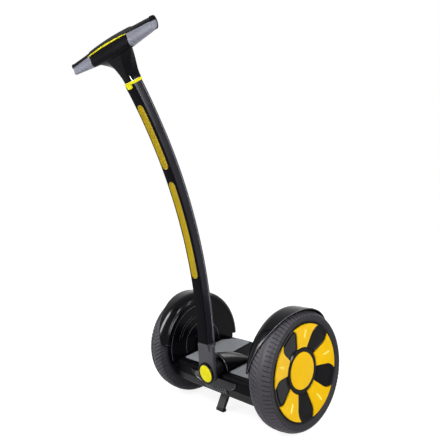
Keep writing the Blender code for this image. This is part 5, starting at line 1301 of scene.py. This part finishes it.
def collar():
    """The yellow band round the top of the stem, with the tab that hangs down its front."""
    width, depth = stem_size(STEM_HIGH)
    proud = COLLAR_PROUD
    outline = rounded(rectangle(-width / 2, width / 2, -depth / 2, depth / 2), 0.006, 6)
    loops = []
    for beyond, grow in ((GAP, proud - 0.0005), (0.0010, proud), (COLLAR_HEIGHT - 0.0010, proud),
                         (COLLAR_HEIGHT - 0.0002, proud - 0.0006)):
        grown = [(x * (1 + 2 * grow / width), y * (1 + 2 * grow / depth)) for x, y in outline]
        loops.append(section_at(grown, STEM_HIGH, beyond))
    inner = [section_at([(x * 0.80, y * 0.72) for x, y in outline], STEM_HIGH, beyond)
             for beyond in (COLLAR_HEIGHT - 0.0002, GAP)]
    back, front = depth / 2 + 0.0006, depth / 2 + proud + GAP
    tab = []
    for beyond, share in ((COLLAR_HEIGHT / 2, 1.0), (-TAB_LENGTH * 0.35, 0.97), (-TAB_LENGTH * 0.7, 0.94),
                          (-TAB_LENGTH * 0.9, 0.82), (-TAB_LENGTH, 0.70)):
        half = TAB_WIDTH / 2 * share
        tab.append(section_at([(-half, back), (half, back), (half, front - 0.0006), (half - 0.0006, front),
                               (-half + 0.0006, front), (-half, front - 0.0006)], STEM_HIGH, beyond))
    return together([loft(loops + inner, ring=True), loft(tab)])


piece("pivot_ring", cap_ring(), "grey_metal", "stem", look="black_gloss", sharp=40)
piece("stem_bracket", bracket(), "grey_metal", "stem", sharp=40)
piece("pivot_cap", pivot_cap(), "yellow_plastic", "stem", look="lemon_yellow", sharp=50)
piece("stem_rear_shell", stem_rear_shell(), "stem_gloss", "stem", sharp=25)
# The stem's side lines are grey as a painted highlight.
piece("stem_lines", stem_lines(), "stem_gloss", "stem", look="highlight_grey")
piece("stem_front_shell", stem_front_shell(), "black_plastic", "stem", look="front_black", sharp=25)
for name, (low, high) in INSERTS.items():
    piece(f"stem_insert_{name}", insert_trough(low, high), "yellow_plastic", "stem", look="gold_insert",
          sharp=40)
piece("collar", collar(), "yellow_plastic", "stem", look="lemon_yellow", sharp=40)


# The handlebar head

def head_point(x, forward_by, up_by):
    """A point of the bar, whose ends sweep forward."""
    centre, along, forward = stem_frame(STEM_HIGH)
    swept = BAR_FORWARD + forward_by + BAR_SWEEP * (x / BAR_HALF) ** 2
    return centre + Vector((x, 0, 0)) + forward * swept + along * (BAR_RISE + up_by)


def bar_point(height, depth, power, turn):
    """A point of the bar's rounded section, cut back underneath, as (forward, up)."""
    side = math.copysign(abs(math.cos(turn)) ** power, math.cos(turn))
    rise = math.copysign(abs(math.sin(turn)) ** power, math.sin(turn))
    return depth / 2 * side - BAR_UNDERCUT * height / 2 * min(rise, 0.0), height / 2 * rise


def split_turn(height, power, strip):
    """Where on the section the top cover meets what is below it."""
    return math.asin(((height / 2 - strip) / (height / 2)) ** (1 / power))


def bar_size(x):
    """Height, depth, squareness and top strip of the bar at a distance from its middle."""
    away = abs(x)
    if away <= GRIP_START:
        share = (away / GRIP_START) ** 2
        height, depth = between(*BAR_HEIGHTS[:2], share), between(*BAR_DEPTHS[:2], share)
        return height, depth, SECTION_POWERS[0], BAR_STRIPS[0]
    share = (away - GRIP_START) / (BAR_HALF - GRIP_START)
    return [between(*ends, share) for ends in (BAR_HEIGHTS[1:], BAR_DEPTHS[1:], SECTION_POWERS, BAR_STRIPS)]


def bar_loft(places, grow, under, steps):
    """The bar's skin under or over the cover's lower edge, grown by a size that varies along the bar."""
    loops = []
    for x in places:
        height, depth, power, strip = bar_size(x)
        extra = grow(abs(x))
        if under:
            edge = split_turn(height, power, strip + GAP / 2)
            turns = spread(math.pi - edge, math.tau + edge, steps)
        else:
            edge = split_turn(height, power, strip - GAP / 2)
            turns = spread(edge, math.pi - edge, steps)
        loops.append([head_point(x, *bar_point(height + extra, depth + extra, power, turn))
                      for turn in turns])
    return loft(loops)


def edge_fall(start, end, fall):
    """Growth of a section that falls away towards both ends of a stretch."""
    def growth(away):
        near = min(abs(away - start), abs(end - away))
        return -2 * round_off(near, fall)
    return growth


def with_ends(low, high, count, fall):
    """Places along a stretch with close ones at both ends for its rounding."""
    sign = 1 if high > low else -1
    near = [low + sign * fall * share for share in (0, 0.12, 0.4, 1)]
    far = [high - sign * fall * share for share in (1, 0.4, 0.12, 0)]
    return near + spread(near[-1], far[0], count)[1:-1] + far


def neck():
    """The neck flares from the stem up into the bar, with a flat front between two facets."""
    loops = []
    for share in spread(0.0, 1.0, 24):
        half = between(STEM_WIDTHS[1] / 2, NECK_TOP_HALF, share ** NECK_POWER)
        front = between(STEM_DEPTHS[1] / 2, NECK_TOP_FRONT, share)
        back = between(STEM_DEPTHS[1] / 2, NECK_TOP_BACK, share ** NECK_BACK_POWER)
        flat = half * between(0.66, 0.40, share)
        side = between(-back, front, between(0.65, 0.50, share))
        thin = min(1.0, (front + back) / 0.020)
        outline = rounded([(-half, -back), (half, -back), (half, side), (flat, front), (-flat, front),
                           (-half, side)], [radius * thin for radius in NECK_CORNERS], 4)
        loops.append(section_at(outline, STEM_HIGH, between(NECK_START, NECK_TOP, share)))
    return loft(loops)


def head_housing():
    places = with_ends(-GRIP_START, GRIP_START, 24, BARREL_ROUND)
    return bar_loft(places, edge_fall(GRIP_START, -GRIP_START, BARREL_ROUND), True, 36)


def grip(side):
    low, high = GRIP_START + GAP, BAR_HALF - 2 * GAP
    places = [side * x for x in with_ends(low, high, 30, GRIP_ROUND)]
    return bar_loft(places, edge_fall(low - GRIP_ROUND, high, GRIP_ROUND), True, 36)


def end_cap(side):
    """The bead round the front and underside of a grip's end."""
    height, depth, power, _ = bar_size(BAR_HALF)
    section = [bar_point(height - CAP_BEAD, depth - CAP_BEAD, power, turn) for turn in spread(*CAP_TURNS, 40)]
    return tube([head_point(side * (BAR_HALF - CAP_BEAD), *point) for point in section], CAP_BEAD, 10)


def cover_growth(away):
    """The cover steps down past the housing, and comes back up towards the bar's ends."""
    past = away - GRIP_START
    dropped = COVER_STEP * (ease(past / COVER_STEP_LENGTH) - 0.7 * ease((past - 0.02) / 0.08))
    return -COVER_INSET - dropped - 2 * round_off(abs(BAR_HALF - away), COVER_ROUND)


def head_top_cover():
    step_end = -GRIP_START - COVER_STEP_LENGTH
    places = with_ends(0.0004 - BAR_HALF, step_end, 12, COVER_ROUND)
    places += spread(step_end, -GRIP_START, 5)[1:] + spread(-GRIP_START, GRIP_START, 24)[1:]
    places += [-x for x in reversed(places[:-24]) if x < -GRIP_START - 0.0001]
    return bar_loft(places, cover_growth, False, 20)


def trim_strip():
    """The yellow strip along the housing's front, under the top cover, widest in the middle."""
    loops = []
    for x in spread(-GRIP_START, GRIP_START, 32):
        height, depth, power, strip = bar_size(x)
        back = bar_point(height, depth, power, split_turn(height, power, strip + TRIM_DROP))[0] + GAP
        middle = height / 2 - strip
        half = between(*TRIM_HALVES, (x / GRIP_START) ** 2)
        section = ((-0.0010, -half), (0.0012, -half), (0.0018, -half / 2), (0.0018, half / 2), (0.0012, half),
                   (-0.0010, half))
        loops.append([head_point(x, back + forward_by, middle + up_by) for forward_by, up_by in section])
    return loft(loops)


piece("head_housing", head_housing(), "black_plastic", "stem", look="front_black", sharp=30)
piece("head_neck", neck(), "black_plastic", "stem", look="neck_black", sharp=50)
for side, label in SIDES:
    piece(f"grip_{label}", grip(side), "silver_rubber", "stem", sharp=40)
    piece(f"end_cap_{label}", end_cap(side), "black_gloss", "stem", sharp=45)
piece("head_top_cover", head_top_cover(), "black_gloss", "stem", look="front_black", sharp=45)
piece("trim_strip", trim_strip(), "yellow_plastic", "stem", look="lemon_yellow", sharp=45)


# The kickstand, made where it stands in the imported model, and the rear fittings

def kickstand_leg():
    """A flat leg with a round eye at the hinge, down to the foot."""
    low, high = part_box("kickstand_leg")
    foot_low, foot_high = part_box("kickstand_foot")
    foot_y, foot_z = (foot_low.y + foot_high.y) / 2, foot_high.z
    lean = math.atan2(foot_y - HINGE.y, HINGE.z - foot_z)
    reach = LEG_THICKNESS / 2 / math.cos(lean)
    outline = [(HINGE.y + a, HINGE.z + b) for a, b in arc(LEG_EYE, lean, lean + math.pi, 24)]
    outline += [(foot_y - reach, foot_z + GAP), (foot_y + reach, foot_z + GAP)]
    return prism(outline, low.x, high.x)


def kickstand_foot():
    """A rubber block with two low ribs round it."""
    low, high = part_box("kickstand_foot")
    meshes = [prism(rounded(rectangle(low.y, high.y, 0.0, high.z), 0.0022, 5), low.x, high.x)]
    for level in (0.0030, 0.0056):
        rib = rounded(rectangle(low.y - 0.0004, high.y + 0.0004, level, level + 0.0011), 0.0004, 2)
        meshes.append(prism(rib, low.x + 0.0006, high.x - 0.0006))
    return together(meshes)


def charge_flap():
    """A round rubber flap with a raised rim and a tab to lift it by."""
    flap = turned([
        (GAP, 0.0), (GAP, 0.0119), (0.0014, 0.0119), (0.0019, 0.0114), (0.0021, 0.0104), (0.0021, 0.0080),
        (0.0017, 0.0075), (0.0017, 0.0),
    ], steps=64, across="Y", closed=False)
    tab = prism(rounded(rectangle(-0.0035, 0.0035, -0.0118, -0.0098), 0.0009, 4), 0.0010, 0.0023, across="Y")
    return moved(together([flap, tab]), (REAR_FITTING_X, BODY_REAR[0], REAR_FITTING_Z))


def power_button():
    """A round button with a raised rim, flanged behind the shell."""
    button = turned([
        (-0.0060, 0.0), (-0.0060, 0.0106), (-0.0033, 0.0106), (-0.0033, 0.0085), (0.0012, 0.0085),
        (0.0018, 0.0082), (0.0021, 0.0074), (0.0021, 0.0052), (0.0017, 0.0048), (0.0015, 0.0030),
        (0.0014, 0.0),
    ], steps=64, across="Y", closed=False)
    return moved(button, (-REAR_FITTING_X, BODY_REAR[0], REAR_FITTING_Z))


piece("kickstand_leg", kickstand_leg(), "black_metal", "kickstand", bevel=0.0014, place=STANDING)
piece("kickstand_foot", kickstand_foot(), "black_rubber", "kickstand", place=STANDING)
piece("charge_flap", charge_flap(), "black_rubber", "charge_flap")
piece("power_button", power_button(), "silver_rubber", "power_button")


# Camera, floor and lights

camera = bpy.data.objects.new("camera", bpy.data.cameras.new("camera"))
bpy.context.collection.objects.link(camera)
camera.location = Vector(CAMERA_PLACE) + Vector((0, AXLE.y, 0))
camera.rotation_euler = [math.radians(turn) for turn in CAMERA_TURNS]
camera.data.lens = CAMERA_LENS
camera.data.sensor_width = 36
bpy.context.scene.camera = camera


def seen_directly(tree, share):
    """A share for camera, glossy and transmission rays, and none for the light that falls on the object."""
    rays = tree.nodes.new("ShaderNodeLightPath")
    total = rays.outputs["Is Camera Ray"]
    for kind in ("Is Glossy Ray", "Is Transmission Ray"):
        either = tree.nodes.new("ShaderNodeMath")
        either.operation = "MAXIMUM"
        tree.links.new(total, either.inputs[0])
        tree.links.new(rays.outputs[kind], either.inputs[1])
        total = either.outputs[0]
    scaled = tree.nodes.new("ShaderNodeMath")
    scaled.operation = "MULTIPLY"
    tree.links.new(total, scaled.inputs[0])
    scaled.inputs[1].default_value = share
    return scaled.outputs[0]


floor_mesh = bmesh.new()
bmesh.ops.create_grid(floor_mesh, x_segments=1, y_segments=1, size=30)
floor_data = bpy.data.meshes.new("floor")
floor_mesh.to_mesh(floor_data)
floor_mesh.free()
floor = bpy.data.objects.new("floor", floor_data)
bpy.context.collection.objects.link(floor)
floor_finish = Shader("floor_white")
floor_finish.set("Base Color", (0.9, 0.9, 0.9, 1))
floor_finish.set("Roughness", 0.9)
floor_finish.set("Specular IOR Level", 0.1)
glow = floor_finish.node("ShaderNodeEmission", Strength=GLOW_STRENGTH)
share = seen_directly(floor_finish.tree, FLOOR_GLOW)
blended = floor_finish.node("ShaderNodeMixShader", Fac=share)
links = floor_finish.tree.links
links.new(floor_finish.surface.outputs["BSDF"], blended.inputs[1])
links.new(glow.outputs["Emission"], blended.inputs[2])
links.new(blended.outputs["Shader"], floor_finish.tree.nodes["Material Output"].inputs["Surface"])
floor_data.materials.append(floor_finish.material)


def lamp(name, place, target, size, power):
    data = bpy.data.lights.new(name, "AREA")
    data.shape = "RECTANGLE"
    data.size, data.size_y = size
    data.energy = power
    made = bpy.data.objects.new(name, data)
    bpy.context.collection.objects.link(made)
    made.location = place
    made.rotation_euler = (Vector(target) - Vector(place)).to_track_quat("-Z", "Y").to_euler()
    return made


for entry in LAMPS:
    lamp(*entry)
for entry in CARDS:
    lamp(*entry).visible_diffuse = False

world = bpy.data.worlds.new("studio")
bpy.context.scene.world = world
world.use_nodes = True
sky = world.node_tree
background = sky.nodes["Background"]
background.inputs["Color"].default_value = (1, 1, 1, 1)
added = sky.nodes.new("ShaderNodeMath")
added.operation = "ADD"
sky.links.new(seen_directly(sky, 1.0 - SKY_LIGHT), added.inputs[0])
added.inputs[1].default_value = SKY_LIGHT
sky.links.new(added.outputs[0], background.inputs["Strength"])
bpy.context.scene.view_settings.view_transform = "Standard"
